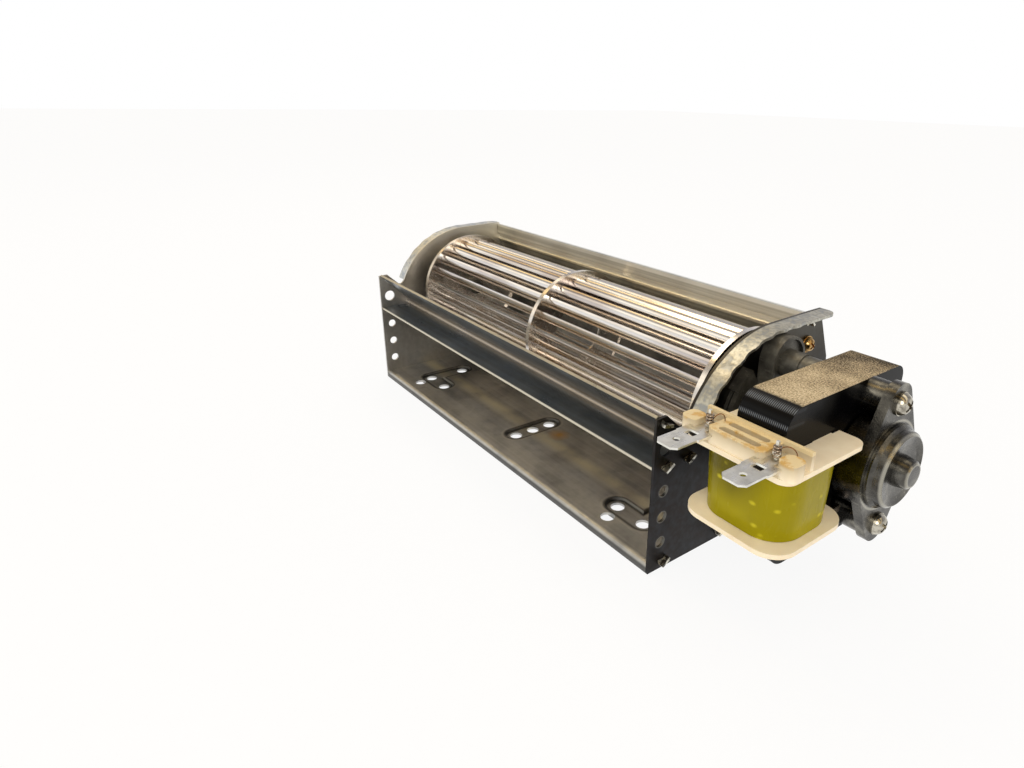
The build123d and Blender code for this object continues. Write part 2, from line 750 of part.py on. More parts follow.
for side in (-1, 1):
    bz = axis_z + side * bolt_half
    cover = cover - rod(bolt_r + bolt_gap, stack_end - 1, cover_out + 1, axis_y, bz)
save(cover, "outer_bracket")
save(bush(out_bush_x, bearing_length), "outer_bearing_bush")
outer_clip_x = out_bush_x - fixed_gap - clip_gauge
save(tube(bearing_r - 0.2, shaft_r + 0.8, outer_clip_x, outer_clip_x + clip_gauge), "outer_bearing_clip")

# Motor shaft from the coupling to the outer bush
shaft_x0 = right_disc_x - 3.4
shaft_x1 = out_bush_x + bearing_length + 0.6
save(rod(shaft_r, shaft_x0, shaft_x1), "motor_shaft")
washers = []
for wx in (clip_x + clip_gauge + 0.6, outer_clip_x - 0.5 - 0.5):
    washers.append(tube(shaft_r + 1.6, shaft_r + fixed_gap, wx, wx + 0.5))
washers.append(tube(shaft_r + 1.6, shaft_r + fixed_gap, hub_x0 - 0.6, hub_x0 - fixed_gap))
save(Compound(children=washers), "thrust_washers")


# Screws with domed cross-recessed heads
def screw(x_seat, shank, y, z, r, h_r, h_high):
    dome_arc = ThreePointArc((0, h_r), (h_high * 0.62, h_r * 0.8), (h_high, h_r * 0.35))
    outline = [
        Line((0, 0), (0, h_r)),
        dome_arc,
        Line((h_high, h_r * 0.35), (h_high, 0)),
        Line((h_high, 0), (0, 0)),
    ]
    head = revolve(make_face(outline), Axis.X, 360)
    for turn in (45, 135):
        head = head - Pos(h_high, 0, 0) * Rot(turn, 0, 0) * Box(h_high, h_r * 1.15, h_r * 0.26)
    head = Pos(x_seat, y, z) * head
    return head + rod(r, x_seat - shank, x_seat + 0.1, y, z)


screws = []
spring_rings = []
ring_x = cover_out + fixed_gap
seat_x = ring_x + washer_gauge + fixed_gap
for side in (-1, 1):
    bz = axis_z + side * bolt_half
    screws.append(screw(seat_x, seat_x - arm_x - 2.0, axis_y, bz, bolt_r, head_r, head_high))
    spring_rings.append(tube(washer_r, bolt_r + bolt_gap, ring_x, ring_x + washer_gauge, axis_y, bz))
save(Compound(children=screws), "motor_screws")
save(Compound(children=spring_rings), "motor_screw_washers")
earth_ring_x = length + fixed_gap
earth_seat = earth_ring_x + washer_gauge + fixed_gap
earth_screw = screw(
    earth_seat, earth_seat - right_in, earth_y, earth_z, earth_r, earth_head_r, head_high
)
save(earth_screw, "earth_screw")
earth_ring = tube(
    earth_washer_r, earth_r + fixed_gap, earth_ring_x, earth_ring_x + washer_gauge, earth_y, earth_z
)
save(earth_ring, "earth_washer")

# Bobbin: tube, two flanges and the terminal block
core_half_x = stack_length / 2
tube_in_x = core_half_x + tube_gap
tube_out_x = tube_in_x + tube_wall
tube_in_y = (core_y0 - tube_gap, core_y1 + tube_gap)
tube_out_y = (tube_in_y[0] - tube_wall, tube_in_y[1] + tube_wall)
low_z0 = limb_low + fixed_gap
top_z1 = limb_top - fixed_gap


def flange(y_range, corner_r, z):
    outline = rounded(mid_x - flange_half_x, mid_x + flange_half_x, y_range[0], y_range[1], corner_r)
    return slab(outline, z, z + flange_gauge)


barrel = slab(
    rounded(mid_x - tube_out_x, mid_x + tube_out_x, tube_out_y[0], tube_out_y[1], 1.5), low_z0, top_z1
)
hole = cuboid(mid_x - tube_in_x, mid_x + tube_in_x, tube_in_y[0], tube_in_y[1], low_z0 - 5, top_z1 + 5)
bobbin = barrel + flange(low_flange_y, low_corner_r, low_z0)
bobbin = bobbin + flange(top_flange_y, top_corner_r, top_z1 - flange_gauge) - hole
yoke_gap = 0.4
clear_yoke = cuboid(
    stack_x - yoke_gap, stack_end + yoke_gap, window_rear_y - yoke_gap, top_flange_y[1] + 5,
    low_z0 - 1, top_z1 + 5,
)
bobbin = bobbin - clear_yoke

# The terminal block: a wall along the limb, a block with two long pockets between
# the spades, and a round knob outside each spade
wall_y1 = stack_front_y - wall_gap
wall_y0 = wall_y1 - wall_gauge
block_y0 = top_flange_y[0] + block_front
block_z = top_z1 + block_high
spade_mid = mid_x + spade_shift
block_half = spade_half_pitch - spade_neck_half - 0.1
wall = cuboid(
    mid_x - flange_half_x + 0.3, mid_x + flange_half_x - 0.3, wall_y0, wall_y1,
    top_z1 - 0.2, top_z1 + wall_high,
)
block = cuboid(spade_mid - block_half, spade_mid + block_half, block_y0, wall_y0 + 0.2, top_z1 - 0.2, block_z)
block = fillet(block.edges().filter_by(Axis.Z).group_by(Axis.Y)[0], 1.6)
bobbin = bobbin + wall + block
for k in range(2):
    pocket = Pos(spade_mid, top_flange_y[0] + pocket_y + k * pocket_pitch)
    racetrack = pocket * SlotOverall(2 * pocket_half, 2 * pocket_r)
    bobbin = bobbin - slab(racetrack, top_z1 + pocket_floor, block_z + 1)
spade_z = top_z1 + spade_high
knob_y = block_y0 + knob_depth / 2
for side in (-1, 1):
    sx = spade_mid + side * spade_half_pitch
    shelf = cuboid(
        sx - spade_neck_half - 1, sx + spade_neck_half + 1, block_y0 + 0.6, wall_y0 + 0.2,
        top_z1 - 0.2, spade_z - fixed_gap,
    )
    knob_x = sx + side * (spade_neck_half + knob_gap + knob_width / 2)
    knob = Pos(knob_x, knob_y) * RectangleRounded(knob_width, knob_depth, knob_r)
    bobbin = bobbin + shelf + slab(knob, top_z1 - 0.2, block_z)
save(bobbin, "coil_bobbin")

# Winding and the tape wrapped round it
wind_z0 = low_z0 + flange_gauge + 0.1
wind_z1 = top_z1 - flange_gauge - 0.1
core_hole = slab(
    rounded(
        mid_x - tube_out_x - tube_gap, mid_x + tube_out_x + tube_gap,
        tube_out_y[0] - tube_gap, tube_out_y[1] + tube_gap, 1.5,
    ),
    wind_z0 - 1, wind_z1 + 1,
)


def wrap(inset):
    """Body with rounded corners that widens upwards, inset from the tape's outside."""
    outline = rounded(
        mid_x - tape_half_x + inset, mid_x + tape_half_x - inset,
        tape_y[0] + inset, tape_y[1] - inset, tape_corner_r - inset,
    )
    return extrude(Pos(0, 0, wind_z0) * outline, wind_z1 - wind_z0, dir=(0, 0, 1), taper=-tape_taper)


save(wrap(tape_gauge) - core_hole, "coil_winding")
save(wrap(0) - wrap(tape_gauge), "coil_tape")


# Spade terminals: tab, wider body, and a neck between the knobs with a wire post
def spade(side):
    sx = spade_mid + side * spade_half_pitch
    half = spade_width / 2
    tip_y = -spade_reach
    shoulder_y = tip_y + spade_shoulder
    body_end = block_y0 - 0.1
    right_side = [
        (half - spade_bevel, tip_y), (half, tip_y + spade_bevel), (half, shoulder_y),
        (spade_body_half, shoulder_y + 0.3), (spade_body_half, body_end),
        (spade_neck_half, body_end), (spade_neck_half, spade_neck_end),
    ]
    outline = [(sx + dx, y) for dx, y in right_side] + [(sx - dx, y) for dx, y in reversed(right_side)]
    blade = slab(make_face(Polyline(outline, close=True)), spade_z, spade_z + spade_gauge)
    blade = blade - Pos(sx, tip_y + spade_hole_back, spade_z) * Cylinder(spade_hole_r, 5)
    window_w, window_l = spade_window
    blade = blade - Pos(sx, tip_y + spade_window_back, spade_z) * Box(window_w, window_l, 5)
    post_w, post_l, post_high = wire_post
    post = Pos(sx, wire_post_y, spade_z + post_high / 2) * Box(post_w, post_l, post_high)
    return blade + post


save(spade(-1), "terminal_left")
save(spade(1), "terminal_right")


def wire_turns(side):
    """Coil wire wound and soldered round the terminal post."""
    sx = spade_mid + side * spade_half_pitch
    low = spade_z + spade_gauge + 3 * wire_r
    pitch = (wire_post[2] - spade_gauge - 6 * wire_r) / wire_turn_count
    return [
        Pos(sx, wire_post_y, low + k * pitch) * Torus(wire_turn_r, wire_r)
        for k in range(wire_turn_count)
    ]


save(Compound(children=wire_turns(-1) + wire_turns(1)), "coil_wire_turns")
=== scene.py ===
# %% [markdown]
# # A cross flow fan
# This lesson dresses a small cross flow fan: a long drum of curved aluminium blades that
# turns in a folded sheet housing, with a shaded pole motor on one end. The solids come in
# as a fixed frame, in metres, and every finish below is worked out from the real material.

# %% Load the frame
import json
import math

import bpy
import numpy as np
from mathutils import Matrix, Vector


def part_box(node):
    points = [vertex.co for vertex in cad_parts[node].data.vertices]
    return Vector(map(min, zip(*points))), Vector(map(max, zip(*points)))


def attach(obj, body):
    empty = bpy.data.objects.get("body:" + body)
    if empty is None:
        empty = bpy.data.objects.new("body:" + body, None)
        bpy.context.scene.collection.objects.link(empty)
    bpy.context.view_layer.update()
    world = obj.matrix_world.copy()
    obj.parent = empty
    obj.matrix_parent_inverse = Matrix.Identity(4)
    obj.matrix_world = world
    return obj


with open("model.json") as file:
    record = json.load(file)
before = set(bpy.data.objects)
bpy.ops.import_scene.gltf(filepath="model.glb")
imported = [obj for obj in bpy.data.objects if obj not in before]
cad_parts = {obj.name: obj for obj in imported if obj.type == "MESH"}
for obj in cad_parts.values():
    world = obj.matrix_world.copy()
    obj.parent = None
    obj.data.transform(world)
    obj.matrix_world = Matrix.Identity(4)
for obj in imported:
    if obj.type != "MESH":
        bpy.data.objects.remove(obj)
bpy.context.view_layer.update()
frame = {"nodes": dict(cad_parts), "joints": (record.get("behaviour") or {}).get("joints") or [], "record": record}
nodes = frame["nodes"]
MM = 0.001

# %% [markdown]
# ## Two measuring helpers
# Wear sits at edges, holes and folds, so most masks below start from a place on a solid.
# Such a place could be typed in, but it would be wrong as soon as the solid changes. It is
# read from the solid's own box or from the record's rows of holes, so the two stay together.


# %% Measuring helpers
def ends(name, axis):
    """Lowest and highest place of a solid along one axis, in millimetres."""
    return [round(corner["XYZ".index(axis)] / MM, 3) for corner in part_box(name)]


mounts = {mount["name"]: mount for mount in frame["record"]["mounts"]}


def hole_row(name, axis, spacing):
    """Places of a row's two end holes: its middle, half a spacing either way, in millimetres."""
    middle = mounts[name]["pos_m"]["XYZ".index(axis)] / MM
    half = mounts[name]["dims"][spacing] / 2
    return round(middle - half, 3), round(middle + half, 3)


print("the blades reach from x", *ends("impeller_blades", "X"), "mm")

# %% [markdown]
# ## The camera
# The photograph was taken close to the fan with a short lens, so near parts look much
# larger. The place, turn and lens below come from measuring where known edges and hole
# rows lie in it; a small shift puts the optical centre where the picture has it.

# %% The camera
WIDE, TALL = 1024, 768  # the picture's frame, in pixels
FOCAL = 680.3  # focal length, in the same pixels
OPTICAL_X, OPTICAL_Y = 586.9, 358.1  # optical centre, in pixels from the top left corner

camera_data = bpy.data.cameras.new("camera")
camera_data.sensor_width = 36.0
camera_data.lens = FOCAL * camera_data.sensor_width / WIDE
camera_data.shift_x = (WIDE / 2 - OPTICAL_X) / WIDE
camera_data.shift_y = (OPTICAL_Y - TALL / 2) / WIDE
camera_data.clip_start = 0.005
camera = bpy.data.objects.new("camera", camera_data)
camera.location = (0.272876, -0.106820, 0.119319)
camera.rotation_mode = "QUATERNION"
camera.rotation_quaternion = (0.741150, 0.512040, 0.237490, 0.363469)
bpy.context.scene.collection.objects.link(camera)
bpy.context.scene.camera = camera
bpy.context.scene.view_settings.view_transform = "Standard"
print("lens", round(camera_data.lens, 2), "mm")

# %% [markdown]
# ## A colour helper
# Colours are written as the hex codes an artist reads off a screen. Light is worked out in
# linear values, so one function turns a code into those, and every colour goes through it.


# %% Colour helper
def linear(code):
    """Linear RGBA from an sRGB hex code: c/12.92 when dark, else ((c+0.055)/1.055)^2.4."""
    c = np.array([int(code[i:i + 2], 16) / 255 for i in (1, 3, 5)])
    c = np.where(c <= 0.04045, c / 12.92, ((c + 0.055) / 1.055) ** 2.4)
    return (*c.tolist(), 1.0)


print("middle grey in linear light:", round(linear("#808080")[0], 3))

# %% [markdown]
# ## Node helpers
# A material is a tree of nodes. One small function adds a node of any kind with its
# settings and its links, so that a finish reads as a short list of steps. The others give
# an empty tree, a place on the object in millimetres, and the common last nodes. A socket
# is given by its name, or by its number where several share a name: on a Mix node 0 is the
# share, 6 and 7 are the two colours, and 2 and 3 are two plain numbers.


# %% Node helpers
def node(tree, kind, inputs=None, out=0, stops=(), **settings):
    """Adds one node with its settings, links or values and ramp stops; gives one output."""
    made = tree.nodes.new("ShaderNode" + kind)
    for key, value in settings.items():
        setattr(made, key, value)
    for key, value in (inputs or {}).items():
        if isinstance(value, bpy.types.NodeSocket):
            tree.links.new(value, made.inputs[key])
        else:
            made.inputs[key].default_value = value
    if stops:
        marks = made.color_ramp.elements
        while len(marks) < len(stops):
            marks.new(0.5)
        for mark, (at, code) in zip(marks, sorted(stops)):
            mark.position = at
            mark.color = linear(code)
    return made.outputs[out] if len(made.outputs) else made


def blank(name):
    """A material with an empty tree."""
    material = bpy.data.materials.new(name)
    material.use_nodes = True
    material.node_tree.nodes.clear()
    return material, material.node_tree


def in_mm(tree, stretch=(1, 1, 1)):
    """Object coordinates in millimetres, divided by stretch along each axis."""
    place = node(tree, "TexCoord", out="Object")
    return node(tree, "Mapping", {"Vector": place, "Scale": [1 / MM / s for s in stretch]})


def step(value, low, high, to_low=0.0, to_high=1.0):
    """Settings of a Map Range node: low..high carried to to_low..to_high, ends held."""
    return {
        "Value": value, "From Min": low, "From Max": high, "To Min": to_low, "To Max": to_high
    }


def surface(tree, colour, roughness, height, depth_mm, **sockets):
    """Principled surface with a bump of depth_mm under it, wired to the output."""
    bump = node(tree, "Bump", {"Height": height, "Distance": depth_mm * MM, "Strength": 1.0})
    looks = {"Base Color": colour, "Roughness": roughness, "Normal": bump, **sockets}
    shader = node(tree, "BsdfPrincipled", looks)
    node(tree, "OutputMaterial", {"Surface": shader})


print("helpers ready: node, blank, in_mm, step, surface")

# %% [markdown]
# ## Galvanised sheet
# The housing is cold rolled steel dipped in zinc. New zinc is a bright grey; handled zinc
# dulls to a warm grey-brown with cloudy patches, faint spangle and lines along the rolling
# direction. A picture of such sheet would repeat and stretch, so noises laid over each
# other make it instead. Twisted tabs and stretched rims lie outside the two end plates and
# get rougher, pitted metal, painted brighter as a highlight, so a mask on x lays that skin
# over them.


# %% Galvanised sheet
SHEET = 0.8  # gauge of the housing
LEFT_FACE = ends("left_end_plate", "X")[1] - SHEET
RIGHT_FACE = ends("right_end_plate", "X")[0] + SHEET


def outside_plates(tree, x):
    """1 beyond the outer faces of the two end plates: the rims and the tab ends."""
    left = node(tree, "MapRange", step(x, LEFT_FACE - 0.2, LEFT_FACE - 0.05, 1.0, 0.0))
    right = node(tree, "MapRange", step(x, RIGHT_FACE + 0.05, RIGHT_FACE + 0.2))
    return node(tree, "Math", {0: left, 1: right}, operation="MAXIMUM")


def galvanised(name, dull, warm, pale, skin, marks_and_light, gloss):
    """Dipped zinc: clouds 18 mm across, spangle 3 mm, rolling lines 2 mm apart, then its worn marks and painted
    light.

    The real rolling lines are finer than a pixel, so they are drawn 2 mm apart to show.
    """
    material, tree = blank(name)
    flat = in_mm(tree)
    x, y, z = (node(tree, "SeparateXYZ", {"Vector": flat}, out=axis) for axis in "XYZ")
    cloud_look = {"Vector": flat, "Scale": 0.055, "Detail": 4.0, "Roughness": 0.6}
    clouds = node(tree, "TexNoise", cloud_look)
    along = in_mm(tree, (60, 1, 1))
    lines = node(tree, "TexNoise", {"Vector": along, "Scale": 0.5, "Detail": 3.0})
    spangle = node(tree, "TexVoronoi", {"Vector": flat, "Scale": 0.30}, out="Color")
    spangle = node(tree, "RGBToBW", {"Color": spangle})
    base = node(tree, "ValToRGB", {"Fac": clouds}, stops=[(0.30, dull), (0.52, warm), (0.74, dull)])
    tone = node(tree, "Math", {0: spangle, 1: 0.16, 2: lines}, operation="MULTIPLY_ADD")
    tone = node(tree, "MapRange", step(tone, 0.45, 0.80, 0.0, 0.6))
    colour = node(tree, "Mix", {0: tone, 6: base, 7: linear(pale)}, out=2, data_type="RGBA")
    for share, tint in marks_and_light(tree, x, y, z, clouds):
        colour = node(tree, "Mix", {0: share, 6: colour, 7: linear(tint)}, out=2, data_type="RGBA")
    pits = node(tree, "TexNoise", {"Vector": flat, "Scale": 1.1, "Detail": 3.0})
    wave = node(tree, "TexNoise", {"Vector": flat, "Scale": 0.35, "Detail": 1.0})
    patchy = node(tree, "Math", {0: pits, 1: wave}, operation="MULTIPLY")
    # Outside the plates the skin is pitted metal painted bright, a painted highlight on the rims and tab ends
    shine = node(tree, "ValToRGB", {"Fac": patchy}, stops=skin)
    outside = outside_plates(tree, x)
    colour = node(tree, "Mix", {0: outside, 6: colour, 7: shine}, out=2, data_type="RGBA")
    roughness = node(tree, "MapRange", step(clouds, 0.35, 0.65, *gloss))
    rough_skin = node(tree, "Math", {0: wave, 1: 6.0, 2: pits}, operation="MULTIPLY_ADD")
    smooth_skin = node(tree, "Math", {0: lines, 1: 0.25}, operation="MULTIPLY")
    height = node(tree, "Mix", {0: outside, 2: smooth_skin, 3: rough_skin}, data_type="FLOAT")
    surface(tree, colour, roughness, height, 0.06, Metallic=1.0)
    return material


print("end plates: outer faces at x", LEFT_FACE, "and", RIGHT_FACE)

# %% [markdown]
# ## Painted light on the scroll: curve and floor
# Each function here gives a list of masks and the tint each one lays on. The curve above
# the drum is painted pale as a painted reflection, with long grey streaks. On the floor a
# pale band of painted sheen runs along X, and one drop of oil left an amber spot.

# %% Painted light on the curve, sheen and oil on the floor
FLOOR_TOP = 2.8  # upper face of the floor
BAND_Y = 19.5  # middle of the painted sheen band
OIL_SPOT = (95.0, 25.0, 0.0)


def curve_painted_light(tree, z):
    """Painted highlight that comes in from z 40 to 52, with grey streaks 2.4 mm apart along X."""
    # Painted highlight: the curve is painted paler from z 40 up
    high = node(tree, "MapRange", step(z, 40.0, 52.0, 0.0, 0.85))
    along = in_mm(tree, (160, 1, 1))
    streak = node(tree, "TexNoise", {"Vector": along, "Scale": 0.42, "Detail": 2.0})
    streak = node(tree, "MapRange", step(streak, 0.44, 0.58, 0.0, 0.6))
    streak = node(tree, "Math", {0: streak, 1: high}, operation="MULTIPLY")
    return [(high, "#fbf6e6"), (streak, "#98937f")]


def floor_sheen_and_oil(tree, x, y, clouds, low):
    """Painted sheen that fades 4.5 mm either side of BAND_Y, and a cloudy oil spot 3 to 6 mm in radius."""
    off = node(tree, "Math", {0: y, 1: BAND_Y}, operation="SUBTRACT")
    off = node(tree, "Math", {0: off}, operation="ABSOLUTE")
    # Painted sheen: a pale band along X
    fade = step(off, 0.3, 4.5, 0.9, 0.0)
    band = node(tree, "MapRange", fade, interpolation_type="SMOOTHSTEP")
    uneven = node(tree, "MapRange", step(clouds, 0.36, 0.56, 0.4, 1.0))
    band = node(tree, "Math", {0: band, 1: uneven}, operation="MULTIPLY")
    spot = node(tree, "CombineXYZ", {0: x, 1: y})
    spot = node(tree, "VectorMath", {0: spot, 1: OIL_SPOT}, out="Value", operation="DISTANCE")
    spot = node(tree, "Math", {0: clouds, 1: 9.0, 2: spot}, operation="MULTIPLY_ADD")
    spot = node(tree, "MapRange", step(spot, 4.8, 9.0, 0.9, 0.0))
    return [
        (node(tree, "Math", {0: share, 1: low}, operation="MULTIPLY"), tint)
        for share, tint in ((band, "#ebe3c8"), (spot, "#d2a04a"))
    ]


print("painted sheen band at y", BAND_Y, "and oil spot at", OIL_SPOT[:2])

# %% [markdown]
# ## Painted light on the scroll: wells and lip
# The floor has sunk wells round its screw holes, and painted shade lies along their sloped
# walls, with a painted highlight on their rims. The shade follows each well's centre lines,
# which run through its holes, so the distance to those lines gives the mask. The lip's front
# face is painted dark as painted shade, while its bend and the sheared edge at the top of the
# strip carry painted highlights.

# %% Painted shade and highlights in the wells and on the lip
WELL_FOOT = 11.3  # how far the foot of a side well reaches towards the middle
STRIP_TOP = ends("scroll_sheet", "Z")[1]
side_x = hole_row("floor_corners", "X", "spacing_x_mm")
side_y = hole_row("floor_corners", "Y", "spacing_y_mm")
middle_x = round(mounts["floor_row"]["pos_m"][0] / MM, 3)
well_lines = [tuple((middle_x, y) for y in hole_row("floor_row", "Y", "spacing_y_mm"))]
for x, foot in zip(side_x, (WELL_FOOT, -WELL_FOOT)):
    well_lines.append(((x, side_y[0]), (x, side_y[1])))
    well_lines.append(((x, side_y[0]), (x + foot, side_y[0])))


def line_distance(tree, x, y, start, end):
    """Distance in the XY plane to a line along X or Y: sqrt(dx^2 + dy^2), 0 beside the line."""
    reach = []
    for value, a, b in zip((x, y), start, end):
        off = node(tree, "Math", {0: value, 1: (a + b) / 2}, operation="SUBTRACT")
        off = node(tree, "Math", {0: off}, operation="ABSOLUTE")
        off = node(tree, "Math", {0: off, 1: abs(b - a) / 2}, operation="SUBTRACT")
        reach.append(node(tree, "Math", {0: off, 1: 0.0}, operation="MAXIMUM"))
    place = node(tree, "CombineXYZ", {0: reach[0], 1: reach[1]})
    return node(tree, "VectorMath", {0: place}, out="Value", operation="LENGTH")


def well_shading(tree, x, y, low):
    """Painted shade on the walls, 3.7 mm from a centre line, and a painted highlight on the rim 5.1 mm from it."""
    gap = line_distance(tree, x, y, *well_lines[0])
    for line in well_lines[1:]:
        other = line_distance(tree, x, y, *line)
        gap = node(tree, "Math", {0: gap, 1: other}, operation="MINIMUM")
    layers = []
    # Painted shade on the well walls, then a painted highlight on their rims
    for middle, half, strength, tint in ((3.7, 1.3, 0.75, "#3b3a37"), (5.1, 0.6, 0.35, "#d6d2c4")):
        ring = node(tree, "Math", {0: gap, 1: middle}, operation="SUBTRACT")
        ring = node(tree, "Math", {0: ring}, operation="ABSOLUTE")
        fade = step(ring, 0.3 * half, half, strength, 0.0)
        ring = node(tree, "MapRange", fade, interpolation_type="SMOOTHSTEP")
        layers.append((node(tree, "Math", {0: ring, 1: low}, operation="MULTIPLY"), tint))
    return layers


def lip_shade_and_highlights(tree, y, z):
    """Painted shade on the front face; painted highlights on the lip's bend and on the top edge of the strip."""
    face = node(tree, "MapRange", step(y, 0.05, 0.3, 0.85, 0.0))
    near = node(tree, "MapRange", step(y, 0.35, 0.8, 0.8, 0.0))
    crown = node(tree, "MapRange", step(z, FLOOR_TOP - 0.6, FLOOR_TOP - 0.3))
    bend = node(tree, "Math", {0: near, 1: crown}, operation="MULTIPLY")
    edge = node(tree, "MapRange", step(z, STRIP_TOP - 0.4, STRIP_TOP - 0.1, 0.0, 0.6))
    bright = node(tree, "Math", {0: bend, 1: edge}, operation="MAXIMUM")
    return [(face, "#42413f"), (bright, "#dfe6ec")]


def scroll_marks_and_light(tree, x, y, z, clouds):
    """All the worn marks and painted light of the scroll sheet, the floor's only on the floor."""
    low = node(tree, "MapRange", step(z, FLOOR_TOP + 1.2, FLOOR_TOP + 2.2, 1.0, 0.0))
    return (
        curve_painted_light(tree, z) + floor_sheen_and_oil(tree, x, y, clouds, low)
        + well_shading(tree, x, y, low) + lip_shade_and_highlights(tree, y, z)
    )


print("centre lines of the wells:", well_lines)

# %% [markdown]
# ## Painted light on the tongue and the end plates
# The tongue is bent to a V, and a warm painted highlight lies along the fold, with painted
# highlights on the sheared edges at its lip and its top. The left plate is painted paler
# higher up, as painted light. The right plate is painted dark as painted shade and lighter
# higher up as painted light, and each of its three small front holes gets a pale ring, a
# painted highlight.

# %% Painted light on the tongue and the plates
TONGUE_BEND = (14.3, 31.6, 0.0)  # y and z of the fold at the back, where its legs meet
TONGUE_TOP = ends("tongue_channel", "Z")[1]  # its sheared edge slopes up to here
TONGUE_FRONT = ends("tongue_channel", "Y")[0]
FRONT_HOLE_R = mounts["right_plate_row"]["dims"]["hole_r_mm"]
front_hole_y = mounts["right_plate_row"]["pos_m"][1] / MM
front_hole_low, front_hole_high = hole_row("right_plate_row", "Z", "spacing_y_mm")  # its own Y runs up


def tongue_highlights(tree, x, y, z, clouds):
    """Warm painted highlight within 4 mm of the bend; painted highlights on the sheared edges at the lip and the
    top.
    """
    place = node(tree, "CombineXYZ", {0: y, 1: z})
    gap = node(tree, "VectorMath", {0: place, 1: TONGUE_BEND}, out="Value", operation="DISTANCE")
    fade = step(gap, 0.5, 4.2, 0.8, 0.0)
    bend = node(tree, "MapRange", fade, interpolation_type="SMOOTHSTEP")
    low = node(tree, "MapRange", step(z, 32.5, 32.9, 1.0, 0.0))
    lip = node(tree, "MapRange", step(y, TONGUE_FRONT + 0.1, TONGUE_FRONT + 0.3, 0.8, 0.0))
    lip = node(tree, "Math", {0: low, 1: lip}, operation="MULTIPLY")
    top = node(tree, "MapRange", step(z, TONGUE_TOP - 0.768, TONGUE_TOP - 0.468, 0.0, 0.8))
    edge = node(tree, "Math", {0: lip, 1: top}, operation="MAXIMUM")
    return [(bend, "#c0a888"), (edge, "#d8cfb8")]


def left_plate_light(tree, x, y, z, clouds):
    """Painted light: paler from z 35 to 55 mm up."""
    return [(node(tree, "MapRange", step(z, 35.0, 55.0, 0.0, 0.8)), "#dcd7ca")]


def right_plate_light(tree, x, y, z, clouds):
    """Painted light above z 40, and a painted highlight 0.3 mm wide round each of the front holes."""
    layers = [(node(tree, "MapRange", step(z, 40.0, 60.0, 0.0, 0.6)), "#5d594f")]
    place = node(tree, "CombineXYZ", {0: y, 1: z})
    # A painted highlight round each of the three front holes
    for up in (front_hole_low, (front_hole_low + front_hole_high) / 2, front_hole_high):
        hole = {0: place, 1: (front_hole_y, up, 0.0)}
        gap = node(tree, "VectorMath", hole, out="Value", operation="DISTANCE")
        fade = step(gap, FRONT_HOLE_R + 0.1, FRONT_HOLE_R + 0.35, 0.3, 0.0)
        layers.append((node(tree, "MapRange", fade), "#a8a69c"))
    return layers


print("hole rims at y", round(front_hole_y, 2), "from z", front_hole_low, "to", front_hole_high)

# %% [markdown]
# ## The four zinc finishes
# All four sheets come from one coil, but each weathered in its own place: the scroll turned
# grey-brown, the tongue blue-grey and smoother, the left plate stayed pale, and the right
# plate is painted nearly black, a painted shade for the motor's shadow. One function makes
# them with other tones.

# %% The four zinc finishes
# Pitted metal painted bright as a highlight: zinc stretched over a rim, or cracked open on a twisted tab
rim_highlight_skin = [(0.17, "#a9afb6"), (0.24, "#c0c3c4"), (0.33, "#d0d0ca")]
right_rim_highlight_skin = [(0.17, "#9b9d9c"), (0.24, "#aeab9f"), (0.33, "#c0beb3")]
tab_highlight_skin = [(0.20, "#55524c"), (0.25, "#c9c6ba"), (0.33, "#e2dfd2")]
half_dull = (0.34, 0.5)  # roughness of handled zinc
smoother = (0.26, 0.4)  # roughness where hands don't reach

# Weathered zinc: grey-brown, cloudy, a soft mirror
zinc_scroll = galvanised(
    "galvanised_scroll", "#8e8f91", "#b9b7b1", "#d0cecb", tab_highlight_skin, scroll_marks_and_light, half_dull
)
# Blue-grey zinc, smoother, with a painted highlight along the fold
zinc_tongue = galvanised(
    "galvanised_tongue", "#7f868f", "#90918f", "#a6acb3", tab_highlight_skin, tongue_highlights, smoother
)
# Zinc kept clean: pale, and painted paler higher up as painted light
zinc_left = galvanised(
    "galvanised_left_plate", "#adadad", "#b4b1ac", "#c6c4c0", rim_highlight_skin, left_plate_light, half_dull
)
# Zinc painted nearly black as painted shade, only its rim painted bright as a highlight
zinc_right = galvanised(
    "galvanised_right_plate", "#1e1f1f", "#2c2725", "#35373a", right_rim_highlight_skin, right_plate_light,
    half_dull,
)
print("zinc finishes:", *(m.name for m in (zinc_scroll, zinc_tongue, zinc_left, zinc_right)))

# %% [markdown]
# ## Bright rolled aluminium
# The drum's blades and discs are thin bright aluminium strip. It mirrors its
# surroundings, drawn out along the strip by the rolls, with a slight warm film of
# lacquer. Low roughness with long fine lines gives the streaks, and a very shallow bump
# keeps them straight.


# %% Bright rolled aluminium
def rolled_aluminium(name, pale, grey, film_tint, stretch, gloss):
    """Strip with lines drawn out along the rolling direction, and a cloudy film 10 mm across.

    The real lines are finer than 0.1 mm, so they are drawn 0.6 mm apart to show.
    """
    material, tree = blank(name)
    lines = node(tree, "TexNoise", {"Vector": in_mm(tree, stretch), "Scale": 1.6, "Detail": 4.0})
    along = in_mm(tree, (5, 1, 1))
    film = node(tree, "TexNoise", {"Vector": along, "Scale": 0.10, "Detail": 4.0})
    film_stops = [(0.32, grey), (0.50, pale), (0.68, film_tint)]
    colour = node(tree, "ValToRGB", {"Fac": film}, stops=film_stops)
    rubbed = node(tree, "MapRange", step(lines, 0.50, 0.72, 0.0, 0.2))
    colour = node(tree, "Mix", {0: rubbed, 6: colour, 7: linear(grey)}, out=2, data_type="RGBA")
    roughness = node(tree, "MapRange", step(lines, 0.3, 0.7, *gloss))
    surface(tree, colour, roughness, lines, 0.0006, Metallic=1.0)
    return material


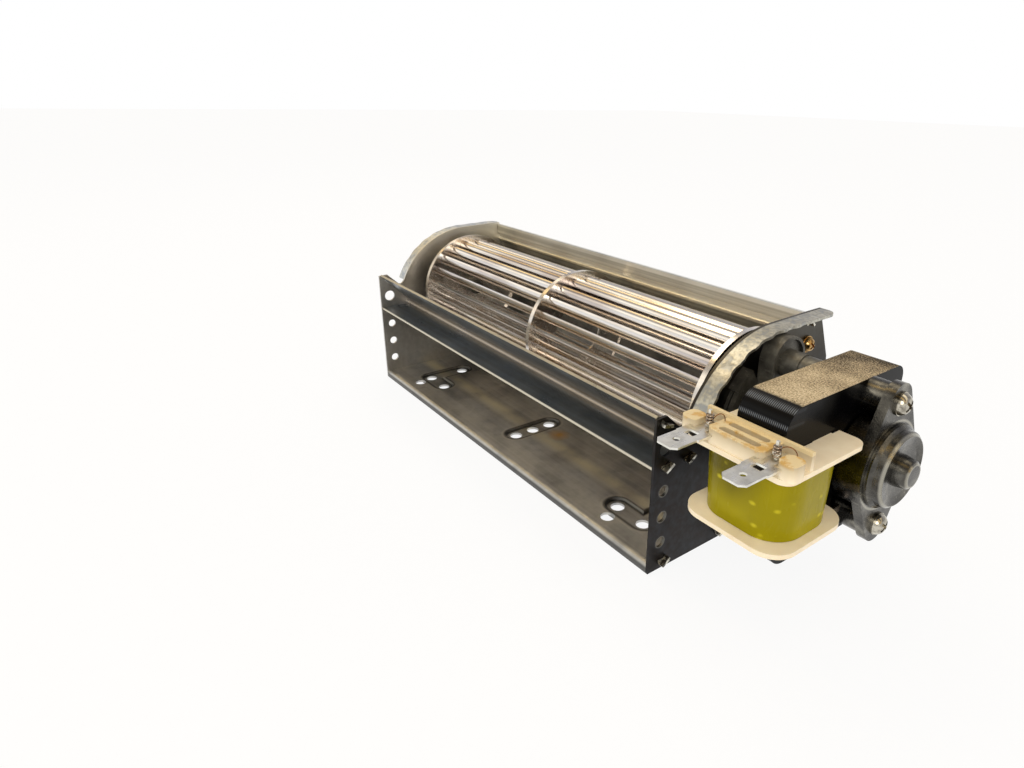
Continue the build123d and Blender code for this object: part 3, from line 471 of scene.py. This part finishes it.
# Blades: rolled along the drum, so the lines run the whole length and the mirror is long
blade_metal = rolled_aluminium(
    "bright_aluminium_blades", "#e9e6e3", "#c2b8b4", "#dccfc0", (90, 1, 1), (0.15, 0.24)
)
# Discs: cut from the same strip across the drum, so the lines are short
disc_metal = rolled_aluminium(
    "bright_aluminium_discs", "#ece6de", "#c9c1ba", "#dfd2c6", (2, 1, 1), (0.16, 0.30)
)
print("aluminium finishes:", blade_metal.name, disc_metal.name)

# %% [markdown]
# ## Die cast brackets
# The two motor brackets are pressure die castings, tumbled but not machined: a dull grey
# skin with a fine orange peel, darker where the mould release stained it, and with painted
# highlights on the rims that stand proud. The rims are rings round the shaft, so the
# distance from the drum's axis finds them.

# %% Die cast alloy
AXIS_Y, AXIS_Z = (round(frame["joints"][0]["pos_m"][k] / MM, 3) for k in (1, 2))


def die_cast(name, skin, stain, rim, rings, gloss, metallic):
    """Cast skin: stains 6 mm across, grain 0.35 mm, scuffs 3 mm long, painted highlights on rims at the given
    radii.
    """
    material, tree = blank(name)
    flat = in_mm(tree)
    stain_look = {"Vector": flat, "Scale": 0.16, "Detail": 4.0, "Roughness": 0.6}
    stains = node(tree, "TexNoise", stain_look)
    grain = node(tree, "TexNoise", {"Vector": flat, "Scale": 2.8, "Detail": 2.0})
    along = in_mm(tree, (3, 1, 1))
    scuff = node(
        tree, "TexNoise", {"Vector": along, "Scale": 0.9, "Detail": 4.0, "Roughness": 0.7}
    )
    tones = [(0.32, stain), (0.55, skin), (0.90, rim)]
    colour = node(tree, "ValToRGB", {"Fac": stains}, stops=tones)
    pale = node(tree, "MapRange", step(scuff, 0.60, 0.76, 0.0, 0.5))
    to_axis = {"Vector": flat, "Location": (0, -AXIS_Y, -AXIS_Z), "Scale": (0, 1, 1)}
    radius = node(tree, "Mapping", to_axis)
    radius = node(tree, "VectorMath", {0: radius}, out="Value", operation="LENGTH")
    # Painted highlights on the rims, at given distances from the shaft
    for ring in rings:
        off = node(tree, "Math", {0: radius, 1: ring}, operation="SUBTRACT")
        off = node(tree, "Math", {0: off}, operation="ABSOLUTE")
        near = node(tree, "MapRange", step(off, 0.15, 0.5, 0.7, 0.0))
        pale = node(tree, "Math", {0: pale, 1: near}, operation="MAXIMUM")
    colour = node(tree, "Mix", {0: pale, 6: colour, 7: linear(rim)}, out=2, data_type="RGBA")
    roughness = node(tree, "MapRange", step(grain, 0.3, 0.7, *gloss))
    surface(tree, colour, roughness, grain, 0.02, Metallic=metallic)
    return material


cover_highlight_rings = (3.0, 9.3, 11.5)  # painted highlights just inside the rims of the nose, the dome and the cover
# Tumbled smooth and oiled: dark, with painted highlights on its rims
cast_dark = die_cast(
    "die_cast_outer_bracket", "#5c5a55", "#302f2d", "#b3afa2", cover_highlight_rings, (0.16, 0.30), 1.0
)
# Left as cast and oxidised: flat grey, no mirror
cast_grey = die_cast(
    "die_cast_inner_bracket", "#66645d", "#3d3b37", "#a9a598", (), (0.36, 0.5), 0.6
)
print("rings round y", AXIS_Y, "z", AXIS_Z, "at radius", cover_highlight_rings)

# %% [markdown]
# ## Laminated core
# The motor's core is a pile of half millimetre steel sheets, dipped in black lacquer.
# The lacquer fills the steps only partly, so the edges show fine ridges, with two lines of
# painted highlight where the rounded corner turns; the flat top has lost most of it and
# shows a tan grit of ground steel. A sine along X gives the ridges, and a mask on z keeps
# them off the top.

# %% Lacquered laminations
LAMINATION = 0.5  # thickness of one sheet of the core
STACK_FRONT = ends("stator_laminations", "Y")[0]
STACK_TOP = ends("stator_laminations", "Z")[1]


def laminated(name):
    """Black lacquer over ridges sin(2 pi x / 0.5); tan grit 0.4 mm across on the upper face."""
    material, tree = blank(name)
    flat = in_mm(tree)
    x, y, z = (node(tree, "SeparateXYZ", {"Vector": flat}, out=axis) for axis in "XYZ")
    clouds = node(tree, "TexNoise", {"Vector": flat, "Scale": 0.11, "Detail": 3.0})
    black = node(tree, "ValToRGB", {"Fac": clouds}, stops=[(0.3, "#020203"), (0.7, "#060608")])
    turns = node(tree, "Math", {0: x, 1: 2 * math.pi / LAMINATION}, operation="MULTIPLY")
    ridge = node(tree, "Math", {0: turns}, operation="SINE")
    ridge = node(tree, "MapRange", step(ridge, -1.0, 0.6))
    # Two painted highlight lines, 1.6 mm above and below a height 2.6 mm under the top
    off = z
    for centre in (STACK_TOP - 2.6, 1.6):
        off = node(tree, "Math", {0: off, 1: centre}, operation="SUBTRACT")
        off = node(tree, "Math", {0: off}, operation="ABSOLUTE")
    fade = step(off, 0.1, 0.7, 0.7, 0.0)
    rubbed = node(tree, "MapRange", fade, interpolation_type="SMOOTHSTEP")
    front = step(y, STACK_FRONT + 5.9, STACK_FRONT + 6.7, 1.0, 0.0)
    for share in (front, step(ridge, 0.6, 1.0, 0.1, 1.0)):
        share = node(tree, "MapRange", share)
        rubbed = node(tree, "Math", {0: rubbed, 1: share}, operation="MULTIPLY")
    # The rubbed mask here is a painted highlight on the front ridges
    black = node(tree, "Mix", {0: rubbed, 6: black, 7: linear("#7c838e")}, out=2, data_type="RGBA")
    grit_look = {"Vector": flat, "Scale": 2.4, "Detail": 3.0, "Roughness": 0.75}
    grit = node(tree, "TexNoise", grit_look)
    grey = node(tree, "Math", {0: clouds, 1: 0.45, 2: grit}, operation="MULTIPLY_ADD")
    back = node(tree, "MapRange", step(y, 24.0, 50.0, 0.02, 0.15))
    grey = node(tree, "Math", {0: grey, 1: back}, operation="SUBTRACT")
    tan = node(
        tree, "ValToRGB", {"Fac": grey},
        stops=[(0.50, "#231e19"), (0.60, "#7a6e5a"), (0.72, "#b9a98c"), (0.88, "#e2d4b8")],
    )
    top = node(tree, "MapRange", step(z, STACK_TOP - 0.2, STACK_TOP - 0.02))
    colour = node(tree, "Mix", {0: top, 6: black, 7: tan}, out=2, data_type="RGBA")
    roughness = node(tree, "MapRange", step(top, 0.0, 1.0, 0.22, 0.6))
    height = node(tree, "Mix", {0: top, 2: ridge, 3: grit}, data_type="FLOAT")
    surface(tree, colour, roughness, height, 0.05, **{"Specular IOR Level": 0.10})
    return material


# Dipped lacquer: black and glossy on the edges, worn to tan steel on top
core_lacquer = laminated("lacquered_laminations")
print("core: front at y", STACK_FRONT, "top at z", STACK_TOP)

# %% [markdown]
# ## Moulded nylon
# The bobbin is natural nylon, a warm ivory that heat and flux have browned on the raised
# blocks by the posts. It is a little translucent, so a small share of light goes under
# its skin. Under the spades the flange is painted dark as painted shade, which shows
# through the window of each spade.

# %% Nylon
SPADE_LOW = ends("terminal_left", "Z")[0]
FLANGE_TOP = SPADE_LOW - 1.7  # the spades lie this far over the flange
BLOCK_TOP = FLANGE_TOP + 3.7  # the raised blocks by the posts
post_x = [sum(ends(name, "X")) / 2 for name in ("terminal_left", "terminal_right")]
spade_mid = sum(post_x) / 2
spade_half = (post_x[1] - post_x[0]) / 2


def shade_under_spades(tree, x, y, z):
    """1 on the flange under each spade, where shade is painted, 2 mm either side of a line 1.3 mm left of its
    middle.
    """
    aside = x
    for centre in (spade_mid - 1.3, spade_half):
        aside = node(tree, "Math", {0: aside, 1: centre}, operation="SUBTRACT")
        aside = node(tree, "Math", {0: aside}, operation="ABSOLUTE")
    under = node(tree, "MapRange", step(aside, 2.0, 2.3, 1.0, 0.0))
    for share in (
        step(y, 2.6, 3.0, 1.0, 0.0),
        step(z, FLANGE_TOP - 0.28, FLANGE_TOP - 0.08),
        step(z, FLANGE_TOP + 1.12, FLANGE_TOP + 1.42, 1.0, 0.0),
    ):
        share = node(tree, "MapRange", share)
        under = node(tree, "Math", {0: under, 1: share}, operation="MULTIPLY")
    return under


def nylon(name):
    """Moulded nylon, clouds 4 mm across, amber flux stains on the raised blocks."""
    material, tree = blank(name)
    flat = in_mm(tree)
    x, y, z = (node(tree, "SeparateXYZ", {"Vector": flat}, out=axis) for axis in "XYZ")
    cloud = node(tree, "TexNoise", {"Vector": flat, "Scale": 0.25, "Detail": 3.0})
    colour = node(tree, "ValToRGB", {"Fac": cloud}, stops=[(0.3, "#ecdfc6"), (0.7, "#f4ead4")])
    high = node(tree, "MapRange", step(z, BLOCK_TOP - 3.58, BLOCK_TOP - 0.28))
    upper = node(tree, "MapRange", step(z, BLOCK_TOP - 0.28, BLOCK_TOP - 0.08))
    patch_look = {"Vector": flat, "Scale": 0.30, "Detail": 4.0, "Roughness": 0.6}
    patch = node(tree, "TexNoise", patch_look)
    stain = node(tree, "MapRange", step(patch, 0.50, 0.62, 0.0, 0.8))
    for share in (step(z, BLOCK_TOP - 0.98, BLOCK_TOP - 0.08), step(y, 4.5, 6.3, 1.0, 0.0)):
        share = node(tree, "MapRange", share)
        stain = node(tree, "Math", {0: stain, 1: share}, operation="MULTIPLY")
    # Painted shade on the flange under the spades
    under = shade_under_spades(tree, x, y, z)
    layers = ((high, "#bdae90"), (upper, "#dccaa0"), (stain, "#c4973a"), (under, "#2b261f"))
    for share, tint in layers:
        colour = node(tree, "Mix", {0: share, 6: colour, 7: linear(tint)}, out=2, data_type="RGBA")
    grain = node(tree, "TexNoise", {"Vector": flat, "Scale": 2.0, "Detail": 2.0})
    roughness = node(tree, "MapRange", step(grain, 0.3, 0.7, 0.36, 0.5))
    glow = {"Subsurface Weight": 0.05, "Subsurface Radius": (0.0015, 0.001, 0.0006)}
    surface(tree, colour, roughness, grain, 0.02, **glow, IOR=1.53)
    return material


# Natural nylon: warm ivory, half matt from the mould
bobbin_nylon = nylon("moulded_nylon")
print("posts at x", post_x, "spades from z", SPADE_LOW)

# %% [markdown]
# ## Film tape
# Yellow-green polyester tape is pulled tight round the winding. The film is glossy and
# thin, with a painted shadow of the flange that darkens its upper part, and it lifts in small
# blisters. Round cells of a Voronoi pattern give the blisters, only inside one patch.


# %% Film tape
def film_tape(name):
    """Polyester film: slow change of tone 12 mm across, blisters 1.2 mm across, fine wrinkles."""
    material, tree = blank(name)
    flat = in_mm(tree)
    x, z = (node(tree, "SeparateXYZ", {"Vector": flat}, out=axis) for axis in "XZ")
    slow = node(tree, "TexNoise", {"Vector": flat, "Scale": 0.08, "Detail": 2.0})
    tones = [(0.32, "#8d8406"), (0.52, "#9a9005"), (0.72, "#a59a07")]
    colour = node(tree, "ValToRGB", {"Fac": slow}, stops=tones)
    # Painted shadow of the flange on the film, from about 33 mm up to 43, more so towards the left
    shade = node(tree, "Math", {0: slow, 1: 12.0, 2: z}, operation="MULTIPLY_ADD")
    shade = node(tree, "MapRange", step(shade, 38.5, 48.5, 0.0, 0.9))
    towards_left = node(tree, "MapRange", step(x, 192.0, 202.0, 1.0, 0.2))
    shade = node(tree, "Math", {0: shade, 1: towards_left}, operation="MULTIPLY")
    cells = in_mm(tree, (1.6, 1.6, 1))
    cell = node(tree, "TexVoronoi", {"Vector": cells, "Scale": 0.38}, out="Distance")
    blister = node(tree, "MapRange", step(cell, 0.10, 0.26, 1.0, 0.0))
    patch = node(tree, "TexNoise", {"Vector": flat, "Scale": 0.12})
    patch = node(tree, "MapRange", step(patch, 0.46, 0.56))
    blister = node(tree, "Math", {0: blister, 1: patch}, operation="MULTIPLY")
    lit = node(tree, "Math", {0: blister, 1: 0.7}, operation="MULTIPLY")
    for share, tint in ((shade, "#514b0a"), (lit, "#c9bf2c")):
        colour = node(tree, "Mix", {0: share, 6: colour, 7: linear(tint)}, out=2, data_type="RGBA")
    upright = in_mm(tree, (1, 1, 4))
    wrinkle = node(tree, "TexNoise", {"Vector": upright, "Scale": 0.35, "Detail": 2.0})
    height = node(tree, "Math", {0: blister, 1: 0.25, 2: wrinkle}, operation="MULTIPLY_ADD")
    roughness = node(tree, "MapRange", step(wrinkle, 0.3, 0.7, 0.2, 0.32))
    surface(tree, colour, roughness, height, 0.08, **{"Specular IOR Level": 0.12})
    return material


# Dyed film over copper: deep yellow-green with a soft gloss
coil_film = film_tape("polyester_film_tape")
print("tape finish:", coil_film.name)

# %% [markdown]
# ## Small metals
# Terminals, screws, clips, bushes and wire ends are small and shiny, and differ only in
# tone, in gloss and in how fast the tarnish changes. One function with two noises serves
# them all: slow clouds of tarnish, and short scratches that vary the gloss.


# %% Thin platings and small metals
def plated(name, light, dark, gloss, clouds_per_mm):
    """Metal with cloudy tarnish 1/clouds_per_mm mm across, and scratches 0.5 mm apart."""
    material, tree = blank(name)
    tarnish_look = {
        "Vector": in_mm(tree), "Scale": clouds_per_mm, "Detail": 4.0, "Roughness": 0.6
    }
    tarnish = node(tree, "TexNoise", tarnish_look)
    along = in_mm(tree, (1, 8, 1))
    scratch = node(tree, "TexNoise", {"Vector": along, "Scale": 2.2, "Detail": 2.0})
    colour = node(tree, "ValToRGB", {"Fac": tarnish}, stops=[(0.3, dark), (0.6, light)])
    roughness = node(tree, "MapRange", step(scratch, 0.3, 0.7, *gloss))
    surface(tree, colour, roughness, scratch, 0.006, Metallic=1.0)
    return material


# Tin on brass: white and soft, hardly stained
tin_plate = plated("tinned_brass", "#f0efe8", "#c9c7bd", (0.26, 0.38), 0.22)
# Copper wire under a skin of solder: grey with brown showing through
copper_wire = plated("soldered_copper", "#b3a596", "#5e4330", (0.16, 0.32), 0.9)
# Nickel plate: a warm bright mirror with cloudy dark tarnish
nickel = plated("nickel_plate", "#c9c3b4", "#6a655b", (0.10, 0.24), 0.6)
# Yellow passivate over zinc: straw coloured, browned by handling
passivated = plated("yellow_passivate", "#d3ae72", "#6a4a28", (0.15, 0.3), 0.9)
# Ground steel: cool grey and even
ground_steel = plated("ground_steel", "#b9b9b7", "#8f8f8d", (0.15, 0.28), 0.6)
# Sintered bronze: brown, matt, dark with oil
bronze = plated("sintered_bronze", "#8f7348", "#5c4728", (0.35, 0.5), 1.2)
# Enamelled copper: red-brown under clear enamel
enamelled = plated("enamelled_copper", "#8a5a34", "#4a2a18", (0.2, 0.35), 0.9)
# Tin solder: light grey, smooth where it flowed
solder = plated("tin_solder", "#d9d5cc", "#8f8478", (0.12, 0.28), 0.9)
small_metals = (tin_plate, copper_wire, nickel, passivated, ground_steel, bronze, enamelled, solder)
print("small metals:", *(metal.name for metal in small_metals))

# %% [markdown]
# ## Rubber
# The coupling and the bearing's grommet are moulded black rubber. Rubber blooms: wax comes
# out of it and leaves paler patches. It is matt, so the roughness is high all over.


# %% Rubber
def rubber(name):
    """Moulded black rubber with a faint bloom, patches 2.5 mm across."""
    material, tree = blank(name)
    flat = in_mm(tree)
    bloom = node(tree, "TexNoise", {"Vector": flat, "Scale": 0.4, "Detail": 3.0})
    grain = node(tree, "TexNoise", {"Vector": flat, "Scale": 4.0, "Detail": 2.0})
    colour = node(tree, "ValToRGB", {"Fac": bloom}, stops=[(0.3, "#131313"), (0.7, "#242422")])
    roughness = node(tree, "MapRange", step(grain, 0.3, 0.7, 0.6, 0.8))
    surface(tree, colour, roughness, grain, 0.03)
    return material


# Moulded rubber: dull black with a grey bloom
black_rubber = rubber("moulded_rubber")
print("rubber finish:", black_rubber.name)

# %% [markdown]
# ## Give each solid its finish
# A finish goes on a solid's mesh in place of the plain one that it came with. One table of
# finish and solids shows at a glance what each piece is made of, and the last line prints
# any solid that was forgotten.

# %% Give each solid its finish
finishes = {
    zinc_scroll: ["scroll_sheet"], zinc_tongue: ["tongue_channel"],
    zinc_left: ["left_end_plate"], zinc_right: ["right_end_plate"],
    blade_metal: ["impeller_blades"],
    disc_metal: ["impeller_left_disc", "impeller_middle_disc", "impeller_right_disc"],
    cast_dark: ["outer_bracket"], cast_grey: ["inner_bracket", "impeller_left_hub"],
    ground_steel: ["impeller_stub_shaft", "motor_shaft"],
    black_rubber: ["left_bearing_grommet", "rubber_coupling"],
    bronze: ["left_bearing_bush", "inner_bearing_bush", "outer_bearing_bush"],
    core_lacquer: ["motor_rotor", "stator_laminations", "coil_core"],
    bobbin_nylon: ["coil_bobbin", "thrust_washers"], coil_film: ["coil_tape"],
    copper_wire: ["shading_rings", "coil_winding", "coil_wire_turns"],
    tin_plate: ["terminal_left", "terminal_right"],
    nickel: ["inner_bearing_clip", "outer_bearing_clip", "motor_screws", "motor_screw_washers"],
    passivated: ["earth_screw", "earth_washer"],
}
for material, names in finishes.items():
    for name in names:
        nodes[name].data.materials.clear()
        nodes[name].data.materials.append(material)
done = {name for names in finishes.values() for name in names}
print("finished", len(done), "of", len(nodes), "solids; left:", sorted(set(nodes) - done))

# %% [markdown]
# ## A closed surface from a grid of points
# The last pieces, two wires and two lumps of solder, are new meshes. Each is a grid of
# points worked out as one array: rows along the piece, columns round it. This function
# joins the grid up, closes its two ends, and turns every face outwards: the volume under
# the faces comes out negative when they point inwards.


# %% A closed surface from a grid of points
def closed_skin(name, points, material):
    """Quads over the grid, its columns joined up, and a fan of triangles over each end row."""
    rows, columns = points.shape[:2]
    index = np.arange(rows * columns).reshape(rows, columns)
    ahead = np.roll(index, -1, axis=1)
    quads = np.stack([index[:-1], ahead[:-1], ahead[1:], index[1:]], axis=-1).reshape(-1, 4)
    low = np.stack([ahead[0], index[0], np.full(columns, rows * columns)], axis=-1)
    high = np.stack([index[-1], ahead[-1], np.full(columns, rows * columns + 1)], axis=-1)
    tips = [points[0].mean(axis=0), points[-1].mean(axis=0)]
    corners = np.concatenate([points.reshape(-1, 3), tips])
    faces = quads.tolist() + low.tolist() + high.tolist()
    fans = np.concatenate([quads[:, [0, 1, 2]], quads[:, [0, 2, 3]], low, high])
    a, b, c = (corners[fans[:, k]] - corners.mean(axis=0) for k in range(3))
    volume = np.einsum("ij,ij->i", a, np.cross(b, c)).sum() / 6
    if volume < 0:
        faces = [face[::-1] for face in faces]
    mesh = bpy.data.meshes.new(name)
    mesh.from_pydata((corners * MM).tolist(), [], faces)
    mesh.polygons.foreach_set("use_smooth", np.ones(len(faces), dtype=bool))
    mesh.materials.append(material)
    piece = bpy.data.objects.new(name, mesh)
    bpy.context.scene.collection.objects.link(piece)
    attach(piece, "housing")
    print(name, len(faces), "faces,", round(abs(volume), 2), "mm3")


print("closed surfaces ready")

# %% [markdown]
# ## The two coil leads
# The ends of the winding come up to the posts as hair-thin enamelled wires. They stand in
# a free bow from the post to a slot in the nylon, which four points of a cubic curve give,
# and a small circle is carried along it.

# %% The two leads
WIRE_R = 0.11  # radius of the enamelled wire
POST_Y = 2.0  # the posts stand this far behind the outlet plane


def wire(name, corners):
    """Circle carried along the cubic (1-t)^3 a + 3t(1-t)^2 b + 3t^2(1-t) c + t^3 d."""
    t = np.linspace(0, 1, 25)[:, None]
    a, b, c, d = np.array(corners, dtype=float)
    path = (1 - t) ** 3 * a + 3 * t * (1 - t) ** 2 * b + 3 * t ** 2 * (1 - t) * c + t ** 3 * d
    along = np.gradient(path, axis=0)
    length = np.linalg.norm(np.diff(path, axis=0), axis=1).sum()
    along /= np.linalg.norm(along, axis=1, keepdims=True)
    side = np.cross(along, (0.3, -1.0, 0.2))
    side /= np.linalg.norm(side, axis=1, keepdims=True)
    up = np.cross(along, side)
    turn = np.linspace(0, 2 * np.pi, 10, endpoint=False)[None, :, None]
    ring = np.cos(turn) * side[:, None] + np.sin(turn) * up[:, None]
    closed_skin(name, path[:, None] + WIRE_R * ring, enamelled)
    print(name, "is", round(length, 1), "mm long")


# Each corner is set from its post: mm to the right, mm behind, and its height
left_bow = [(0.65, 0.5, 51.6), (0.95, 1.6, 53.2), (2.35, 2.6, 53.2), (2.45, 2.3, 51.1)]
right_bow = [(0.65, 0.5, 52.2), (1.35, 2.0, 52.9), (2.95, 2.6, 52.2), (3.65, 1.9, 51.1)]
for name, x, bow in zip(("coil_lead_left", "coil_lead_right"), post_x, (left_bow, right_bow)):
    wire(name, np.array(bow) + (x, POST_Y, 0.0))

# %% [markdown]
# ## The two lumps of solder
# Solder wets the post and the wire and freezes in an uneven lump. A ball whose radius
# swells and shrinks as it goes round gives that with one formula; another seed gives the
# second lump its own shape.


# %% The two lumps of solder
def solder_lump(name, middle, size, seed):
    """Ball with radius 1 + 0.13 sin(3u + seed) sin v + 0.1 cos(2u - seed) sin 2v, times size."""
    v = np.linspace(0.06, np.pi - 0.06, 15)[:, None]
    u = np.linspace(0, 2 * np.pi, 24, endpoint=False)[None, :]
    swell = 1 + 0.13 * np.sin(3 * u + seed) * np.sin(v)
    swell = swell + 0.1 * np.cos(2 * u - seed) * np.sin(2 * v)
    across = swell * np.sin(v)
    ball = np.stack([across * np.cos(u), across * np.sin(u), swell * np.cos(v)], axis=-1)
    closed_skin(name, np.array(middle) + ball * np.array(size), solder)


solder_lump("solder_left", (post_x[0], POST_Y, 50.7), (0.98, 0.92, 0.75), 0.4)
solder_lump("solder_right", (post_x[1], POST_Y, 50.8), (1.0, 0.95, 0.8), 2.1)

# %% [markdown]
# ## The floor
# The fan stands on pale paper. Straight to the camera, and in reflections, the paper shows
# mostly its own even glow, so it looks white without more light on the fan; the rest is
# matt paper, which keeps the fan's soft shadow.

# %% Floor
REACH = 4.0  # metres from the middle to each edge
DROP = 0.2 * MM  # the paper lies just under the fan, so that the two faces don't flicker

floor_mesh = bpy.data.meshes.new("floor")
floor_corners = [(-REACH, -REACH, 0), (REACH, -REACH, 0), (REACH, REACH, 0), (-REACH, REACH, 0)]
floor_mesh.from_pydata(floor_corners, [], [(0, 1, 2, 3)])
floor = bpy.data.objects.new("floor", floor_mesh)
bpy.context.scene.collection.objects.link(floor)
floor.location.z = -DROP
paper, tree = blank("studio_paper")
fleck = node(tree, "TexNoise", {"Vector": in_mm(tree), "Scale": 0.2})
tint = node(tree, "ValToRGB", {"Fac": fleck}, stops=[(0.3, "#f3f3f3"), (0.7, "#f7f7f7")])
matt = node(tree, "BsdfDiffuse", {"Color": tint})
glow = node(tree, "Emission", {"Color": (1, 1, 1, 1), "Strength": 1.0})
sight = node(tree, "LightPath", out="Is Camera Ray")
for ray in ("Is Glossy Ray", "Is Transmission Ray"):
    ray = node(tree, "LightPath", out=ray)
    sight = node(tree, "Math", {0: sight, 1: ray}, operation="MAXIMUM")
share = node(tree, "Math", {0: sight, 1: 0.9}, operation="MULTIPLY")
both = node(tree, "MixShader", {0: share, 1: matt, 2: glow})
node(tree, "OutputMaterial", {"Surface": both})
floor_mesh.materials.append(paper)
print("floor", 2 * REACH, "m wide")

# %% [markdown]
# ## The world
# Bright metal shows what is round it, so the world is built like a photographer's tent:
# white near the horizon, where the camera looks, and above that a grey tent with long
# cream light strips that run along X, the way the drum does. Each blade then picks up its
# own straight highlights.

# %% World
TENT_STRENGTH = 1.85
world = bpy.data.worlds.new("studio")
bpy.context.scene.world = world
world.use_nodes = True
tree = world.node_tree
tree.nodes.clear()
way = node(tree, "TexCoord", out="Generated")
along_y = node(tree, "SeparateXYZ", {"Vector": way}, out="Y")
height = node(tree, "SeparateXYZ", {"Vector": way}, out="Z")
# Angle round the drum's axis: 0 looks to the back, 90 degrees straight up, 180 to the front
angle = node(tree, "Math", {0: height, 1: along_y}, operation="ARCTAN2")
angle = node(tree, "MapRange", step(angle, 0.0, math.pi))
strips = node(
    tree, "ValToRGB", {"Fac": angle},
    stops=[
        (0.00, "#b5b2ad"), (0.18, "#94949a"), (0.30, "#7b7a7a"),
        (0.36, "#ecdfc8"), (0.42, "#ecdfc8"),  # wide strip towards the back
        (0.48, "#7b7a7a"), (0.54, "#767472"),
        (0.57, "#fbd896"), (0.60, "#fbd896"),  # narrow warm strip just past the top
        (0.64, "#767472"), (0.72, "#86827d"),
        (0.77, "#dcd7cc"), (0.84, "#dcd7cc"),  # wide strip towards the front
        (0.91, "#a5a4a2"), (1.00, "#b9bbc0"),
    ],
)
strip_light = node(tree, "Background", {"Color": strips, "Strength": TENT_STRENGTH})
white = node(tree, "Background", {"Color": (1, 1, 1, 1), "Strength": 1.0})
high = node(tree, "MapRange", step(height, 0.12, 0.22))
mix = node(tree, "MixShader", {0: high, 1: white, 2: strip_light})
node(tree, "OutputWorld", {"Surface": mix})
print("world", world.name, "with three strips")

# %% [markdown]
# ## The lamps
# Dull surfaces need light of their own. A long warm lamp behind and above lights the tops,
# and a wide one on the right lights the motor. Both are soft, so shadows have no hard
# edge, and both face the middle of the fan.

# %% Lamps
FAN_MIDDLE = np.array((0.1, 0.03, 0.03))


def lamp(name, place, size_x, size_y, watts, tint):
    """Soft rectangular lamp at place, facing the middle of the fan."""
    data = bpy.data.lights.new(name, "AREA")
    data.shape = "RECTANGLE"
    data.size = size_x
    data.size_y = size_y
    data.energy = watts
    data.color = linear(tint)[:3]
    thing = bpy.data.objects.new(name, data)
    thing.location = place
    away = np.array(place) - FAN_MIDDLE
    flat = math.hypot(away[0], away[1])
    swing = math.atan2(away[1], away[0]) + math.pi / 2
    thing.rotation_euler = (math.atan2(flat, away[2]), 0, swing)
    bpy.context.scene.collection.objects.link(thing)
    print(name, "lamp", watts, "W,", round(float(np.linalg.norm(away)), 2), "m away")


lamp("overhead", (-0.35, 0.05, 0.75), 0.5, 0.2, 1.2, "#fff0d6")
lamp("right", (0.65, -0.45, 0.4), 0.4, 0.4, 1.6, "#fffaf0")
